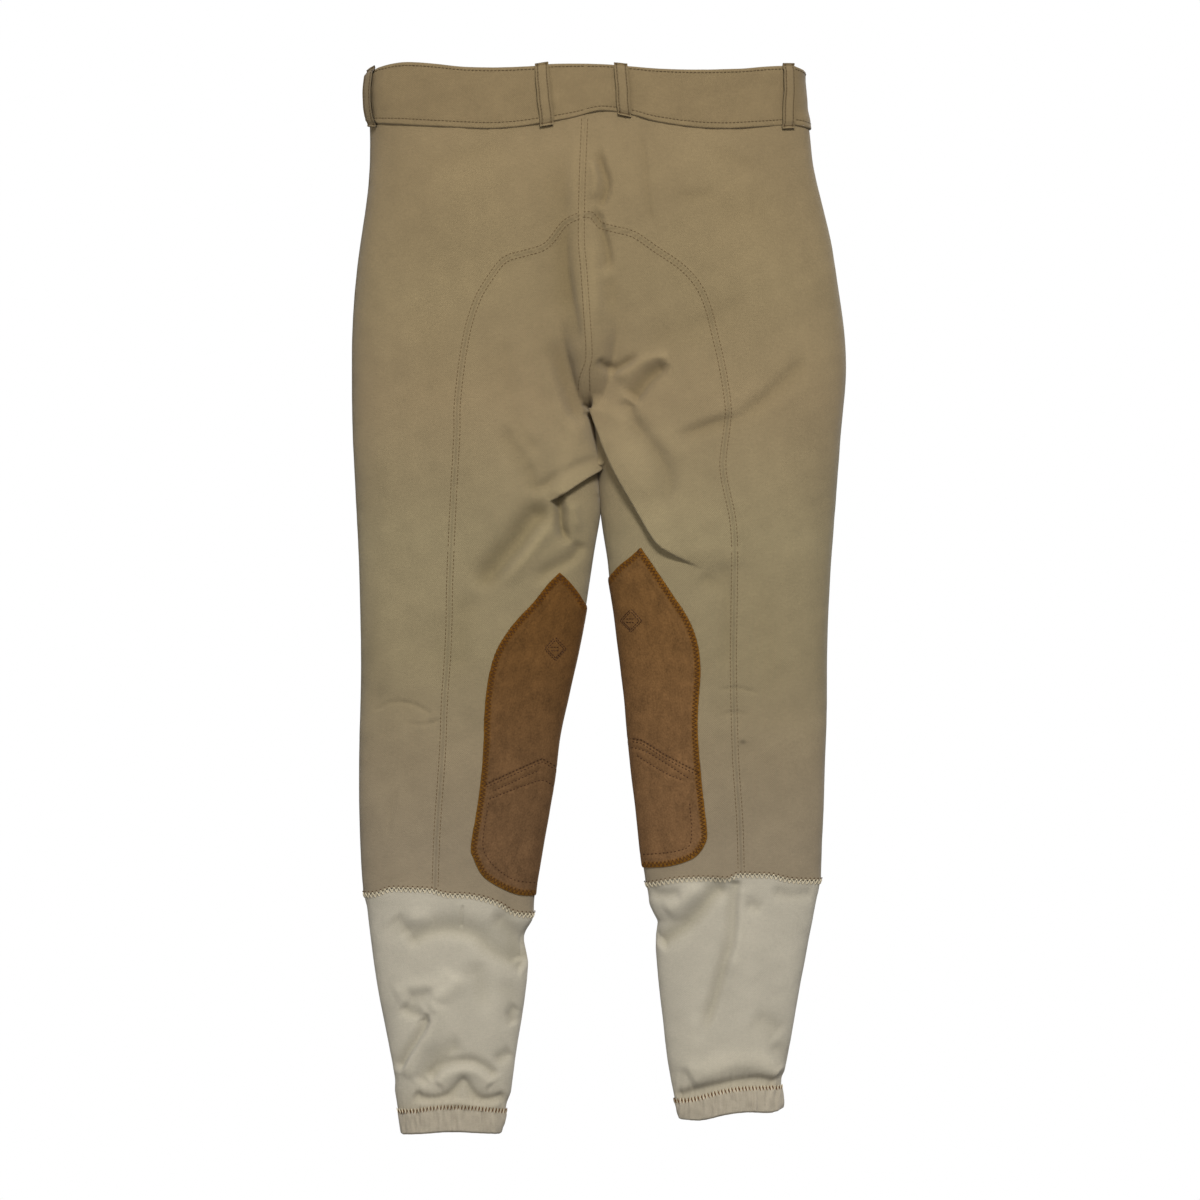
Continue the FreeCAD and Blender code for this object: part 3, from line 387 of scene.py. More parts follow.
# height, half widths left and right of the run, fades at its two ends, (x, z) points
BACK_RIDGES = [
    # round the crotch and down the thighs
    (-5.6, (3, 7), (7, 14), [(-35.1, 579.6), (-32.04, 562.5), (-30.6, 546.3), (-25.2, 530.1)]),
    (1.8, (5, 5), (10, 14), [(-24.3, 571.5), (-21.6, 555.3), (-17.1, 539.1)]),
    (-2.2, (4.5, 8), (8, 20), [(-13.5, 534.6), (-21.6, 520.2), (-33.3, 512.1),
                               (-45.9, 505.8), (-60.3, 492.3)]),
    (-6.2, (8, 14), (20, 26), [(-42.3, 569.7), (-58.5, 549.9), (-72.9, 530.1),
                               (-92.7, 508.5), (-112.5, 488.7)]),
    (2.6, (8, 8), (16, 30), [(-42.3, 553.5), (-56.7, 532.8), (-74.7, 510.3), (-89.1, 490.5)]),
    (-1.5, (5.5, 6), (16, 12), [(-59.4, 573.3), (-50.4, 582.3), (-36.9, 591.3),
                                (-24.3, 599.4), (-11.7, 604.8), (-0.9, 607.5)]),
    (-1.9, (5.5, 9), (16, 14), [(-70.2, 611.1), (-63, 598.5), (-58.5, 584.1), (-60.3, 571.5)]),
    (-1.6, (6, 10), (18, 12), [(-89.1, 639.9), (-74.7, 616.5), (-62.1, 600.3)]),
    (-0.9, (5, 9), (18, 14), [(-80.1, 661.5), (-71.1, 634.5), (-53.1, 609.3)]),
    (-4.6, (6, 10), (12, 8), [(63, 694.8), (48.6, 682.2), (38.7, 671.4), (27.9, 657.9)]),
    (-2.6, (6.5, 9), (10, 20), [(27, 663.3), (27, 650.7), (32.4, 637.2), (40.5, 625.5)]),
    (-3.0, (8.5, 15), (20, 40), [(29.7, 647.1), (36.9, 630.9), (49.5, 614.7), (59.4, 596.7),
                                 (60.3, 576.9), (52.2, 557.1), (44.1, 540.9)]),
    (1.8, (9, 9), (20, 20), [(8.1, 639.9), (18.9, 614.7), (33.3, 587.7), (42.3, 567.9)]),
    (2.2, (5, 9), (12, 8), [(11.7, 678.6), (29.7, 689.4), (47.7, 696.6), (64.8, 696.6)]),
    (-2.5, (4.4, 5), (9, 16), [(-2.7, 697.5), (4.5, 690.75), (14.4, 688.05), (25.2, 693),
                               (37.8, 701.1)]),
    (-2.9, (7.5, 12), (28, 18), [(-39.6, 719.1), (-36, 697.5), (-29.7, 675.9),
                                 (-22.5, 656.1), (-13.5, 636.3)]),
    (1.4, (7, 7), (24, 20), [(-48.6, 706.5), (-38.7, 670.5), (-26.1, 639.9), (-13.5, 618.3)]),
    (-2.2, (6, 10), (26, 30), [(63.9, 624.6), (94.5, 635.4), (111.6, 640.8), (135.9, 646.2)]),
    (-1.7, (7, 10), (22, 22), [(120.6, 639), (144.9, 657.9), (167.4, 679.5), (189.9, 699.3)]),
    (-1.9, (10, 16), (40, 30), [(-35.1, 886.5), (-32.4, 823.5), (-29.7, 765), (-26.1, 724.5)]),
    (-3.0, (3.6, 6), (16, 12), [(0, 886.5), (2.7, 870.3), (7.2, 855.9), (6.3, 841.5),
                                (-1.8, 828.9)]),
    (-2.8, (3.6, 6), (14, 16), [(-3.6, 834.3), (0.9, 818.1), (6.3, 801), (9, 785.7),
                                (7.2, 769.5)]),
    (1.5, (4, 4), (12, 10), [(-7.2, 877.5), (-3.6, 855.9), (-7.2, 836.1)]),
    (-1.4, (6, 10), (14, 30), [(7.2, 773.1), (11.7, 751.5), (8.1, 720)]),
    (-0.9, (2.4, 6), (14, 16), [(37.8, 899.1), (42.3, 864), (44.1, 837), (48.6, 812.7)]),
    (-2.2, (5.5, 11), (26, 24), [(-27.9, 823.5), (-30.6, 794.7), (-27.9, 762.3),
                                 (-22.5, 731.7), (-18, 704.7)]),
    (1.3, (6, 6), (26, 30), [(-7.2, 805.5), (-3.6, 760.5), (-1.8, 720)]),
    (1.0, (6, 6), (20, 26), [(-19.8, 900), (-22.5, 859.5), (-23.4, 814.5)]),
    (-0.9, (13, 19), (20, 40), [(36.9, 711), (90.9, 726.3), (144.9, 753.3)]),
    (-0.9, (6, 7), (16, 16), [(62.1, 842.4), (85.5, 841.5), (110.7, 844.2)]),
    (-0.6, (8, 12), (20, 26), [(-162.9, 868.5), (-116.1, 879.3), (-71.1, 884.7)]),
    (-0.6, (7, 10), (16, 20), [(90.9, 886.5), (122.4, 873), (146.7, 859.5)]),
    (-1.0, (13, 18), (30, 30), [(-89.1, 724.5), (-86.4, 679.5), (-78.3, 643.5)]),
    (-1.3, (4.5, 8), (16, 40), [(113.4, 517.5), (115.2, 490.5), (116.1, 463.5),
                                (115.2, 400.5)]),
    (-1.4, (8, 8), (10, 20), [(90.9, 506.7), (101.7, 495), (110.7, 481.5)]),
    (-1.2, (14, 14), (24, 40), [(-116.1, 495), (-125.1, 445.5), (-128.7, 391.5)]),
    (-0.8, (18, 18), (30, 30), [(90.9, 841.5), (126.9, 828), (162.9, 825.3)]),
    (-0.8, (20, 20), (40, 40), [(-161.1, 751.5), (-143.1, 697.5), (-137.7, 634.5)]),
    (-0.8, (16, 16), (30, 40), [(128.7, 517.5), (146.7, 463.5), (155.7, 373.5)]),
    (-0.6, (12, 12), (14, 24), [(-209.7, 400.5), (-179.1, 387), (-143.1, 391.5)]),
    (-0.6, (12, 12), (14, 24), [(94.5, 387), (144.9, 377.1), (194.4, 384.3)]),
    # small creases behind the knees
    (-0.55, (2.2, 2.2), (8, 10), [(-204.3, 380.7), (-186.3, 389.7), (-166.5, 387.9),
                                  (-146.7, 377.1)]),
    (-0.45, (2.4, 2.4), (8, 10), [(-175.5, 371.7), (-157.5, 369.9), (-137.7, 375.3)]),
    (-0.5, (3, 3), (16, 16), [(-189.9, 263.7), (-186.3, 290.7), (-179.1, 317.7)]),
    (-0.5, (2.4, 2.4), (10, 12), [(103.5, 400.5), (123.3, 402.3), (146.7, 396.9)]),
    (-0.4, (2.4, 2.4), (10, 12), [(105.3, 377.1), (121.5, 380.7), (137.7, 377.1)]),
    # little pulls into the crotch seam
    (-1.0, (1.6, 1.6), (3, 3), [(-14.4, 657.9), (-9, 653.4), (-2.7, 651.6)]),
    (-0.8, (1.6, 1.6), (3, 3), [(-13.5, 649.8), (-8.1, 646.2), (-1.8, 646.2)]),
    # left sock
    (-3.6, (8, 5), (12, 5), [(-175.5, 171.9), (-158.4, 181.35), (-139.5, 186.3),
                             (-121.5, 184.5), (-107.55, 179.1), (-98.37, 170.1),
                             (-82.26, 161.1), (-64.8, 151.2)]),
    (-1.8, (5, 8), (8, 8), [(-185.4, 198.9), (-176.4, 189), (-169.2, 180)]),
    (1.4, (6, 6), (10, 10), [(-175.5, 200.7), (-161.1, 196.2), (-148.5, 198.9)]),
    (-3.6, (6, 7), (14, 6), [(-98.1, 201.6), (-84.6, 190.8), (-73.8, 175.5), (-66.6, 156.6)]),
    (-1.0, (1, 1), (3, 3), [(-121.95, 208.8), (-122.85, 198), (-123.3, 187.2)]),
    (-1.8, (4.5, 6), (8, 10), [(-174.6, 124.2), (-161.1, 126.9), (-145.8, 129.6)]),
    (2.2, (4.5, 6), (8, 12), [(-155.7, 116.1), (-143.1, 125.1), (-128.7, 137.7),
                              (-121.5, 148.5)]),
    (1.5, (5, 8), (8, 10), [(-186.3, 126.9), (-170.1, 134.1), (-146.7, 135.9),
                            (-129.6, 150.3)]),
    (-2.4, (4.6, 4), (7, 7), [(-179.1, 117.9), (-171, 112.5), (-162.9, 109.8),
                              (-155.7, 109.8)]),
    (-4.2, (2, 4.5), (12, 9), [(-160.2, 112.5), (-154.8, 107.1), (-156.6, 97.2),
                               (-166.5, 81), (-174.6, 68.4), (-180.9, 56.7)]),
    (2.4, (5.5, 8), (10, 10), [(-142.2, 121.5), (-150.3, 96.3), (-162, 75.6), (-172.8, 50.4)]),
    (-2.4, (4.5, 7), (12, 8), [(-119.7, 83.7), (-137.7, 74.7), (-152.1, 61.2), (-162, 45.9)]),
    (-1.5, (6, 6), (16, 20), [(-116.1, 162), (-105.3, 135), (-101.7, 108)]),
    (-1.5, (6, 6), (14, 14), [(-87.3, 144), (-78.3, 121.5), (-76.5, 94.5)]),
    (-1.6, (4, 4), (5, 5), [(-72, 117.9), (-78.3, 108.9), (-74.7, 99)]),
    (-2.4, (3.6, 5), (5, 8), [(-76.5, 75.6), (-86.4, 71.1), (-95.4, 64.8)]),
    (-2.8, (4, 4), (8, 8), [(-153.9, 50.4), (-143.1, 62.1), (-127.8, 67.05), (-112.5, 66.6),
                            (-101.7, 61.2), (-90.9, 51.3)]),
    (2.2, (3.6, 5), (6, 6), [(-146.7, 45.9), (-134.1, 57.6), (-119.7, 61.2), (-105.3, 55.8),
                             (-94.5, 45.9)]),
    (-2.8, (3, 4), (6, 6), [(-167.4, 39.6), (-157.5, 34.2), (-146.7, 33.3), (-135, 36.9),
                            (-127.8, 44.1), (-121.5, 50.4), (-116.1, 43.2), (-108.9, 35.1),
                            (-99.9, 32.4), (-81.9, 36.9)]),
    (1.4, (2.6, 2.6), (6, 6), [(-164.7, 28.8), (-134.1, 30.6), (-107.1, 27.9), (-85.5, 29.7)]),
    # right sock
    (-3.8, (7, 9), (12, 6), [(117, 227.7), (101.7, 217.35), (92.7, 205.2), (83.7, 195.3),
                             (72, 185.4), (52.2, 171.9)]),
    (1.6, (8, 8), (12, 8), [(94.5, 227.7), (76.5, 214.2), (58.5, 200.7)]),
    (-3.2, (3, 5), (6, 34), [(122.85, 232.2), (121.05, 208.8), (120.6, 191.7), (118.8, 174.6),
                             (113.4, 157.5), (107.1, 135), (98.1, 105.3), (89.1, 80.1)]),
    (1.2, (5, 5), (10, 20), [(126.9, 227.7), (126, 193.5), (123.3, 166.5), (116.1, 139.5)]),
    (-1.6, (4.5, 4.5), (8, 8), [(128.7, 209.7), (137.7, 207), (147.6, 201.6)]),
    (-1.6, (6, 9), (12, 8), [(135.9, 110.7), (150.3, 101.7), (165.6, 90.9)]),
    (-1.4, (6, 6), (10, 6), [(153.9, 85.5), (162.9, 72), (167.4, 60.3)]),
    (-1.7, (4.5, 4.5), (10, 6), [(152.1, 220.5), (171.9, 216.9), (194.4, 218.7)]),
    (-1.9, (4, 4), (6, 8), [(44.1, 219.6), (58.5, 216.9), (76.5, 217.8)]),
    (2.8, (8, 6), (8, 6), [(80.1, 49.5), (101.7, 59.4), (126.9, 65.7), (149.4, 62.1),
                           (162.9, 53.1)]),
    (-2.8, (3, 4), (5, 5), [(69.3, 35.1), (89.64, 41.85), (108.9, 46.35), (124.2, 49.5),
                            (141.3, 51.3), (160.2, 48.6)]),
    (1.4, (8, 8), (16, 10), [(90.9, 112.5), (81.9, 76.5), (78.3, 54)]),
]
FRONT_RIDGES = [
    (-2.6, (6, 10), (8, 30), [(-8.1, 657.9), (-33.3, 675.9), (-71.1, 686.7), (-107.1, 690.3)]),
    (-2.6, (6, 10), (8, 30), [(-6.3, 657.9), (20.7, 676.8), (58.5, 686.7), (96.3, 691.2)]),
    (-2.2, (7, 10), (12, 30), [(-9.9, 643.5), (-42.3, 643.5), (-89.1, 636.3),
                               (-125.1, 625.5)]),
    (-2.2, (7, 10), (12, 30), [(4.5, 643.5), (36.9, 642.6), (81.9, 634.5), (123.3, 625.5)]),
    (-1.2, (8, 8), (14, 26), [(-12.6, 697.5), (-24.3, 724.5), (-29.7, 751.5)]),
    (-1.2, (8, 8), (14, 26), [(-4.5, 702), (8.1, 729), (15.3, 755.1)]),
    (-1.4, (8, 8), (14, 24), [(-197.1, 355.5), (-152.1, 344.7), (-89.1, 350.1)]),
    (-1.2, (8, 8), (14, 24), [(-179.1, 324), (-134.1, 315.9), (-71.1, 323.1)]),
    (-1.4, (8, 8), (14, 24), [(189.9, 360), (144.9, 348.3), (81.9, 351.9)]),
    (-1.2, (8, 8), (14, 24), [(180.9, 326.7), (135.9, 319.5), (63.9, 324.9)]),
    (-2.4, (7, 7), (10, 10), [(-188.1, 189), (-152.1, 175.5), (-107.1, 184.5),
                              (-71.1, 166.5)]),
    (-2.2, (7, 7), (10, 10), [(-179.1, 121.5), (-143.1, 103.5), (-89.1, 112.5)]),
    (2.4, (6, 6), (6, 6), [(-177.3, 44.1), (-134.1, 47.7), (-86.4, 44.1)]),
    (-2.4, (7, 7), (10, 10), [(54.9, 198), (99.9, 184.5), (144.9, 198), (180.9, 184.5)]),
    (-2.2, (7, 7), (10, 10), [(65.7, 117), (108.9, 103.5), (162.9, 117)]),
    (2.6, (6, 6), (6, 6), [(80.1, 54.9), (117.9, 63.9), (161.1, 58.5)]),
]
BACK_FOLDS = LAPS + [ridge(*row) for row in BACK_RIDGES]
FRONT_FOLDS = [ridge(*row) for row in FRONT_RIDGES]

# ------------------------------------------------------------------ seams, (x, z)
BACK_SEAM = {
    "left": smooth_line([
        (-17.55, 823.95), (-31.5, 816.75), (-46.8, 797.49), (-65.97, 790.65),
        (-83.88, 785.07), (-96.3, 769.95), (-107.28, 752.04), (-115.56, 728.64),
        (-120.33, 705.24), (-123.84, 680.4), (-126.54, 652.86), (-126.72, 630),
        (-129.24, 585.9), (-131.76, 535.5), (-133.56, 490.5), (-134.64, 444.6),
        (-138.33, 389.34), (-140.13, 343.35), (-144.72, 279), (-146.97, 221.4)], 5.0),
    "right": smooth_line([
        (-14.85, 825.3), (-6.3, 824.85), (0.9, 815.85), (14.4, 811.8), (31.14, 807.3),
        (51.75, 793.35), (72.45, 779.4), (87.57, 763.2), (97.2, 742.5), (104.13, 714.87),
        (111.06, 683.1), (115.2, 652.86), (114.3, 636.3), (110.43, 604.8), (112.95, 583.2),
        (119.25, 554.4), (121.14, 522.9), (120.6, 464.4), (120.15, 419.85), (122.13, 342),
        (126, 283.5), (127.35, 236.7)], 5.0)}
FRONT_SEAM = {
    "left": smooth_line([
        (CROTCH_X, 655), (-34, 641), (-66, 618), (-98, 590), (-118, 558), (-128, 520),
        (-136, 420), (-139.5, 361), (-145, 260), (-147.5, 222)], 6.0),
    "right": smooth_line([
        (CROTCH_X, 655), (18, 641), (50, 618), (82, 590), (104, 558), (115, 520), (119, 420),
        (121, 342), (125, 284), (127, 236)], 6.0)}
CENTRE_SEAM = smooth_line([
    (-12.6, 915.3), (-14.85, 859.5), (-15.75, 804.6), (-13.59, 776.7), (-10.8, 735.3),
    (-9, 708.3), (-9.36, 693.9), (-13.5, 683.1), (-15.75, 673.2), (-16.2, 664.2)], 5.0)
# upper edge of the hem on the back
HEM = {
    "left": [(-180.9, 22.05), (-164.7, 23.04), (-144, 26.1), (-117.9, 26.1), (-84.6, 22.05)],
    "right": [(69.3, 31.14), (85.5, 33.3), (105.3, 38.97), (125.1, 42.84), (144, 43.38),
              (163.8, 43.38)]}
# lower end of the hem on the back
HEM_END = {
    "left": [(-179.1, 0.72), (-167.4, 1.44), (-154.8, 2.34), (-134.1, 3.96), (-116.1, 3.24),
             (-102.6, 2.34), (-88.2, 1.35)],
    "right": [(72, 14.76), (81.9, 14.13), (90.9, 14.04), (101.7, 16.2), (109.8, 18.45),
              (122.4, 20.7), (134.55, 21.6), (144.9, 21.06), (155.7, 20.88), (166.5, 24.3)]}
# seam between trouser leg and sock on the back
SOCK_SEAM = {
    "left": [(-216.9, 217.8), (-211.23, 217.8), (-199.98, 218.7), (-187.2, 223.38),
             (-169.47, 223.38), (-150.3, 222.57), (-137.34, 218.7), (-117.99, 217.8),
             (-101.97, 214.56), (-87.48, 208.89), (-76.23, 201.69), (-59.4, 199.26),
             (-53.1, 199.26)],
    "right": [(36.9, 226.62), (43.02, 226.62), (67.14, 231.39), (91.26, 233.1),
              (115.2, 232.2), (123.3, 236.25), (139.5, 236.25), (155.52, 235.44),
              (171.54, 231.39), (198.9, 229.86), (204.3, 229.86)]}
# lower and upper edges of the waistband on the back
BAND_LOW = [
    (-209.7, 910.8), (-192.6, 908.55), (-158.4, 905.58), (-121.5, 903.33), (-99, 902.16),
    (-76.5, 903.33), (-54, 906.3), (-24.3, 911.7), (-1.8, 917.55), (15.75, 917.1),
    (32.4, 913.77), (50.4, 908.55), (87.3, 903.33), (117, 902.7), (146.7, 904.86),
    (173.7, 907.2), (191.7, 904.5)]
BAND_TOP = [
    (-209.7, 954), (-203.4, 957.6), (-197.1, 960.3), (-180.9, 963.45), (-165.6, 963.45),
    (-143.1, 961.2), (-121.5, 958.5), (-90.9, 957.6), (-56.7, 958.86), (-43.2, 960.48),
    (0.9, 960.48), (27.9, 958.32), (57.6, 956.34), (87.3, 955.89), (124.65, 957.06),
    (146.7, 959.4), (162, 960.66), (175.5, 961.2), (182.7, 958.5), (188.1, 954.9)]


def seam_ridge(line, x, z):
    """A flat welt 3 mm either side of a seam, sunk at the seam and at its rows of stitches."""
    d, half = np.abs(nearest(line, x, z)[0]), 3.0
    return (0.55 * np.exp(-(d / (half + 0.8)) ** 4) - 0.5 * np.exp(-(d / 0.8) ** 2)
            - 0.3 * np.exp(-((d - half + 0.3) / 0.7) ** 2))


def drift(x, z, length, seed):
    """Smooth wandering value about -1..1, with waves about a length long."""
    r = np.random.RandomState(100 + seed)
    v = np.zeros_like(x)
    for _ in range(7):
        a, f, p = r.uniform(0, 6.28), r.uniform(0.6, 1.7) / length, r.uniform(0, 6.28)
        v += np.sin(TAU * f * (x * math.cos(a) + z * math.sin(a)) + p)
    return v / 3.2


# ------------------------------------------------------------------ cloth surface
def relief(side, turn, z, x, seams):
    """Height off the tube, sideways pushes at the laps, and the height of folds and seams."""
    height, push_x, push_z = np.zeros(x.shape), np.zeros(x.shape), np.zeros(x.shape)
    back = turn <= 0.5
    for folds, here in ((BACK_FOLDS, back), (FRONT_FOLDS, ~back)):
        for (x0, x1, z0, z1), shape in folds:
            m = here & (x > x0) & (x < x1) & (z > z0) & (z < z1)
            if m.any():
                rise, lean_x, lean_z = shape(x[m], z[m])
                height[m] += rise
                push_x[m] += lean_x
                push_z[m] += lean_z
    if seams:
        for line, m in ((BACK_SEAM[side], back & (z > 210)),
                        (FRONT_SEAM[side], ~back & (z < 662) & (z > 210)),
                        (CENTRE_SEAM, back & (z > 655) & (np.abs(x + 10) < 25))):
            height[m] += seam_ridge(line, x[m], z[m])
    folds_only = height.copy()
    calm = 0.25 + 0.75 * ease((640 - z) / 200.0)
    height += (0.45 * calm * drift(x, z, 85.0, 1 + int(side == "right"))
               + 0.16 * drift(x, z, 26.0, 3))
    # gathers above the hem
    hem_z = np.interp(x, *np.array(HEM[side]).T)
    gather = np.exp(-np.maximum(z - hem_z, 0) / 13.0) * (z < 200)
    arc = np.where(back, 1, -1) * x
    height += gather * (0.32 * np.sin(arc * TAU / 7.3 + 2.0 * drift(x, z, 40, 5))
                        + 0.14 * np.sin(arc * TAU / 4.1 + 1.0))
    # nothing stands off the tube at its inner and outer edges
    half_turn = np.where(back, turn, 1 - turn)
    s = closedness(z, 0.0)
    edge = np.clip(np.sin(2 * np.pi * np.clip(half_turn, 0, 0.5)) / 0.14, 0, 1)
    fade = np.where(half_turn > 0.25, edge, (1 - s) + s * edge)
    return height * fade, push_x * fade, push_z * fade, folds_only


def cloth_and_folds(side, turn, z, lift=0.0, seams=True):
    turn, z = np.broadcast_arrays(np.asarray(turn, float), np.asarray(z, float))
    p, n = tube_point(side, turn, z), tube_normal(side, turn, z)
    height, push_x, push_z, folds = relief(side, turn, z, p[..., 0], seams)
    p = p + n * (height + lift)[..., None]
    p[..., 0] += push_x
    p[..., 2] += push_z
    return p, n, folds


def cloth_point(side, turn, z, lift=0.0, seams=True):
    return cloth_and_folds(side, turn, z, lift, seams)[:2]


def on_cloth(side, front, lift=0.15):
    """A function that places (x, z) points on the cloth and gives points and normals."""
    def place(points):
        x, z = np.asarray(points, float).T
        return cloth_point(side, turn_at(side, x, z, front), z, lift)
    return place


# ------------------------------------------------------------------ colours
def lin(*rgb):
    return [((c / 255 + 0.055) / 1.055) ** 2.4 if c / 255 > 0.04045 else c / 255 / 12.92
            for c in rgb]


# cloth colour by height, warm at the hips and greyer towards the sock seam
TONE_Z = [200, 260, 340, 430, 540, 660, 760, 860, 960]
TONES = np.array([
    lin(139, 125, 102), lin(138, 124, 101), lin(138, 123, 97), lin(139, 125, 95),
    lin(141, 127, 96), lin(140, 122, 91), lin(137, 120, 88), lin(136, 118, 86),
    lin(130, 112, 82)])
# spots on the back: x, z, radius along x, radius along z, how much darker
SPOTS = [
    (-202.5, 459.9, 8.1, 18, 0.10), (-204.3, 436.5, 7.2, 12.6, 0.08),
    (-161.1, 531, 54, 27, -0.02), (128.7, 354.6, 2.88, 1.98, 0.45),
    (-149.4, 373.5, 2.7, 2.7, 0.12), (-45.9, 481.5, 9, 12.6, 0.03),
    (198.9, 481.5, 10.8, 81, 0.05), (-213.3, 751.5, 10.8, 81, 0.04)]
WAIST_TINT = np.array(lin(129, 111, 80))
BAND_TINT = np.array(lin(128, 110, 79))
SOCK_TINT = np.array(lin(181, 173, 155))
HEM_TINT = np.array(lin(175, 164, 144))
LABEL_TINT = np.array(lin(222, 219, 211))
ZIP_TAPE_TINT = np.array([0.2, 0.145, 0.08])


def painted_fold_shade(folds):
    """Painted shade down in the folds, tinted brown, and a painted highlight on their crowns.
    """
    h = np.clip(folds * 0.030, -0.17, 0.05)[..., None]
    return 1 + h * np.where(h < 0, [0.94, 1.0, 1.28], [1.0, 1.0, 0.9])


def cloth_tone(x, z, back):
    c = np.stack([np.interp(z, TONE_Z, TONES[:, i]) for i in range(3)], -1)
    v = 1 + 0.035 * drift(x, z, 120.0, 11) + 0.02 * drift(x, z, 35.0, 12)
    for spot_x, spot_z, rx, rz, k in SPOTS:
        v = v - k * np.exp(-((x - spot_x) / rx) ** 2 - ((z - spot_z) / rz) ** 2) * back
    return c * v[..., None]


# ------------------------------------------------------------------ mesh helpers
MATS = {}


def flat(a):
    return a.reshape(-1, a.shape[-1])


def cell_mean(a):
    return (a[:-1, :-1] + a[1:, 1:]) / 2


def cloth_coords(u, v, edge=0.0):
    return np.stack(np.broadcast_arrays(u, v, edge), -1)


def part(verts, quads, normals, coords, tint, mat):
    return dict(verts=verts, quads=quads, normals=normals, coords=coords, tint=tint, mat=mat)


def assemble(name, parts):
    parts = [p for p in parts if p is not None and len(p["quads"])]
    start, quads, slots, names = 0, [], [], []
    for p in parts:
        if p["mat"] not in names:
            names.append(p["mat"])
        quads.append(p["quads"] + start)
        slots.append(np.full(len(p["quads"]), names.index(p["mat"])))
        start += len(p["verts"])
    verts, normals, coords, tint = (np.concatenate([p[key] for p in parts])
                                    for key in ("verts", "normals", "coords", "tint"))
    quads = np.concatenate(quads)
    me = bpy.data.meshes.new(name)
    me.vertices.add(len(verts))
    me.vertices.foreach_set("co", (verts / 1000.0).astype(np.float32).ravel())
    me.loops.add(quads.size)
    me.loops.foreach_set("vertex_index", quads.ravel().astype(np.int32))
    me.polygons.add(len(quads))
    me.polygons.foreach_set("loop_start", (np.arange(len(quads)) * 4).astype(np.int32))
    for n in names:
        me.materials.append(MATS[n])
    me.polygons.foreach_set("material_index", np.concatenate(slots).astype(np.int32))
    me.polygons.foreach_set("use_smooth", np.ones(len(quads), bool))
    me.update(calc_edges=True)
    at = me.attributes.new("cloth", "FLOAT_VECTOR", "POINT")
    at.data.foreach_set("vector", coords.astype(np.float32).ravel())
    at = me.attributes.new("tint", "FLOAT_COLOR", "POINT")
    colour = np.ones((len(verts), 4), np.float32)
    colour[:, :3] = tint
    at.data.foreach_set("color", colour.ravel())
    me.normals_split_custom_set_from_vertices(normals.astype(np.float32))
    ob = bpy.data.objects.new(name, me)
    bpy.context.scene.collection.objects.link(ob)
    return ob


def close_sheet(quads, count):
    """Front quads, the same reversed on a second layer of vertices, and a rim between."""
    e = np.concatenate([quads[:, [i, (i + 1) % 4]] for i in range(4)])
    key = np.sort(e, 1)
    key = key[:, 0].astype(np.int64) * (count + 1) + key[:, 1]
    _, first, uses = np.unique(key, return_index=True, return_counts=True)
    rim = e[first[uses == 1]]
    rims = np.stack([rim[:, 1], rim[:, 0], rim[:, 0] + count, rim[:, 1] + count], 1)
    return np.concatenate([quads, quads[:, ::-1] + count, rims])


def shell(verts, normals, quads, thickness, coords, tint, mat):
    """A closed cloth: the sheet, its darker inside, and a rim round every free edge."""
    tint = flat(np.broadcast_to(tint, verts.shape))
    used, q = np.unique(quads.reshape(-1, 4), return_inverse=True)
    v, n, c, ti = (a[used] for a in (flat(verts), flat(normals), flat(coords), tint))
    return part(np.concatenate([v, v - n * thickness]), close_sheet(q.reshape(-1, 4), len(v)),
                np.concatenate([n, -n]), np.concatenate([c, c]),
                np.concatenate([ti, ti * 0.8]), mat)


def grid_normals(points, closed=None, flip=False):
    du = np.gradient(points, axis=1)
    if closed is not None:
        du[closed, 0] = du[closed, -1] = points[closed, 1] - points[closed, -2]
    n = unit(np.cross(du, np.gradient(points, axis=0)))
    return -n if flip else n


def grid_quads(rows, cols, closed=None, flip=False):
    idx = np.arange(rows * cols).reshape(rows, cols)
    if closed is not None:
        idx[closed, -1] = idx[closed, 0]
    q = np.stack([idx[:-1, :-1], idx[:-1, 1:], idx[1:, 1:], idx[1:, :-1]], -1)
    return q[..., ::-1] if flip else q


def tube_sheet(points, closed, flip):
    """Joins the closed rows of a grid and gives its normals and quads."""
    points[closed, -1] = points[closed, 0]
    normals = grid_normals(points, closed, flip)
    normals[closed, -1] = normals[closed, 0]
    return normals, grid_quads(*points.shape[:2], closed, flip)


def faced_sheet(points, outward=None):
    """Normals and quads of a grid turned outward at its middle, or to +y on the whole."""
    rows, cols = points.shape[:2]
    n = grid_normals(points)
    facing = n[..., 1].mean() if outward is None else n[rows // 2, cols // 2] @ outward
    return (-n if facing < 0 else n), grid_quads(rows, cols, flip=facing < 0)


def arc_lengths(points, origin):
    """Length along each row of a grid, from the origin column."""
    d = np.linalg.norm(np.diff(points, axis=1), axis=-1)
    u = np.concatenate([np.zeros((points.shape[0], 1)), np.cumsum(d, 1)], 1)
    return u - u[:, origin:origin + 1]


# ------------------------------------------------------------------ stitches
# rings of a stitch: place along it, radius share, height share (arch at the middle)
STITCH_RINGS = ((0.0, 0.45, -0.5), (0.16, 0.9, 0.0), (0.5, 1.0, None), (0.84, 0.9, 0.0),
                (1.0, 0.45, -0.5))


def stitch_quads():
    q = []
    for i in range(4):
        for k in range(6):
            k2 = (k + 1) % 6
            q.append((i * 6 + k, i * 6 + k2, (i + 1) * 6 + k2, (i + 1) * 6 + k))
    return np.array(q + [(5, 4, 3, 0), (3, 2, 1, 0), (24, 25, 26, 27), (24, 27, 28, 29)])


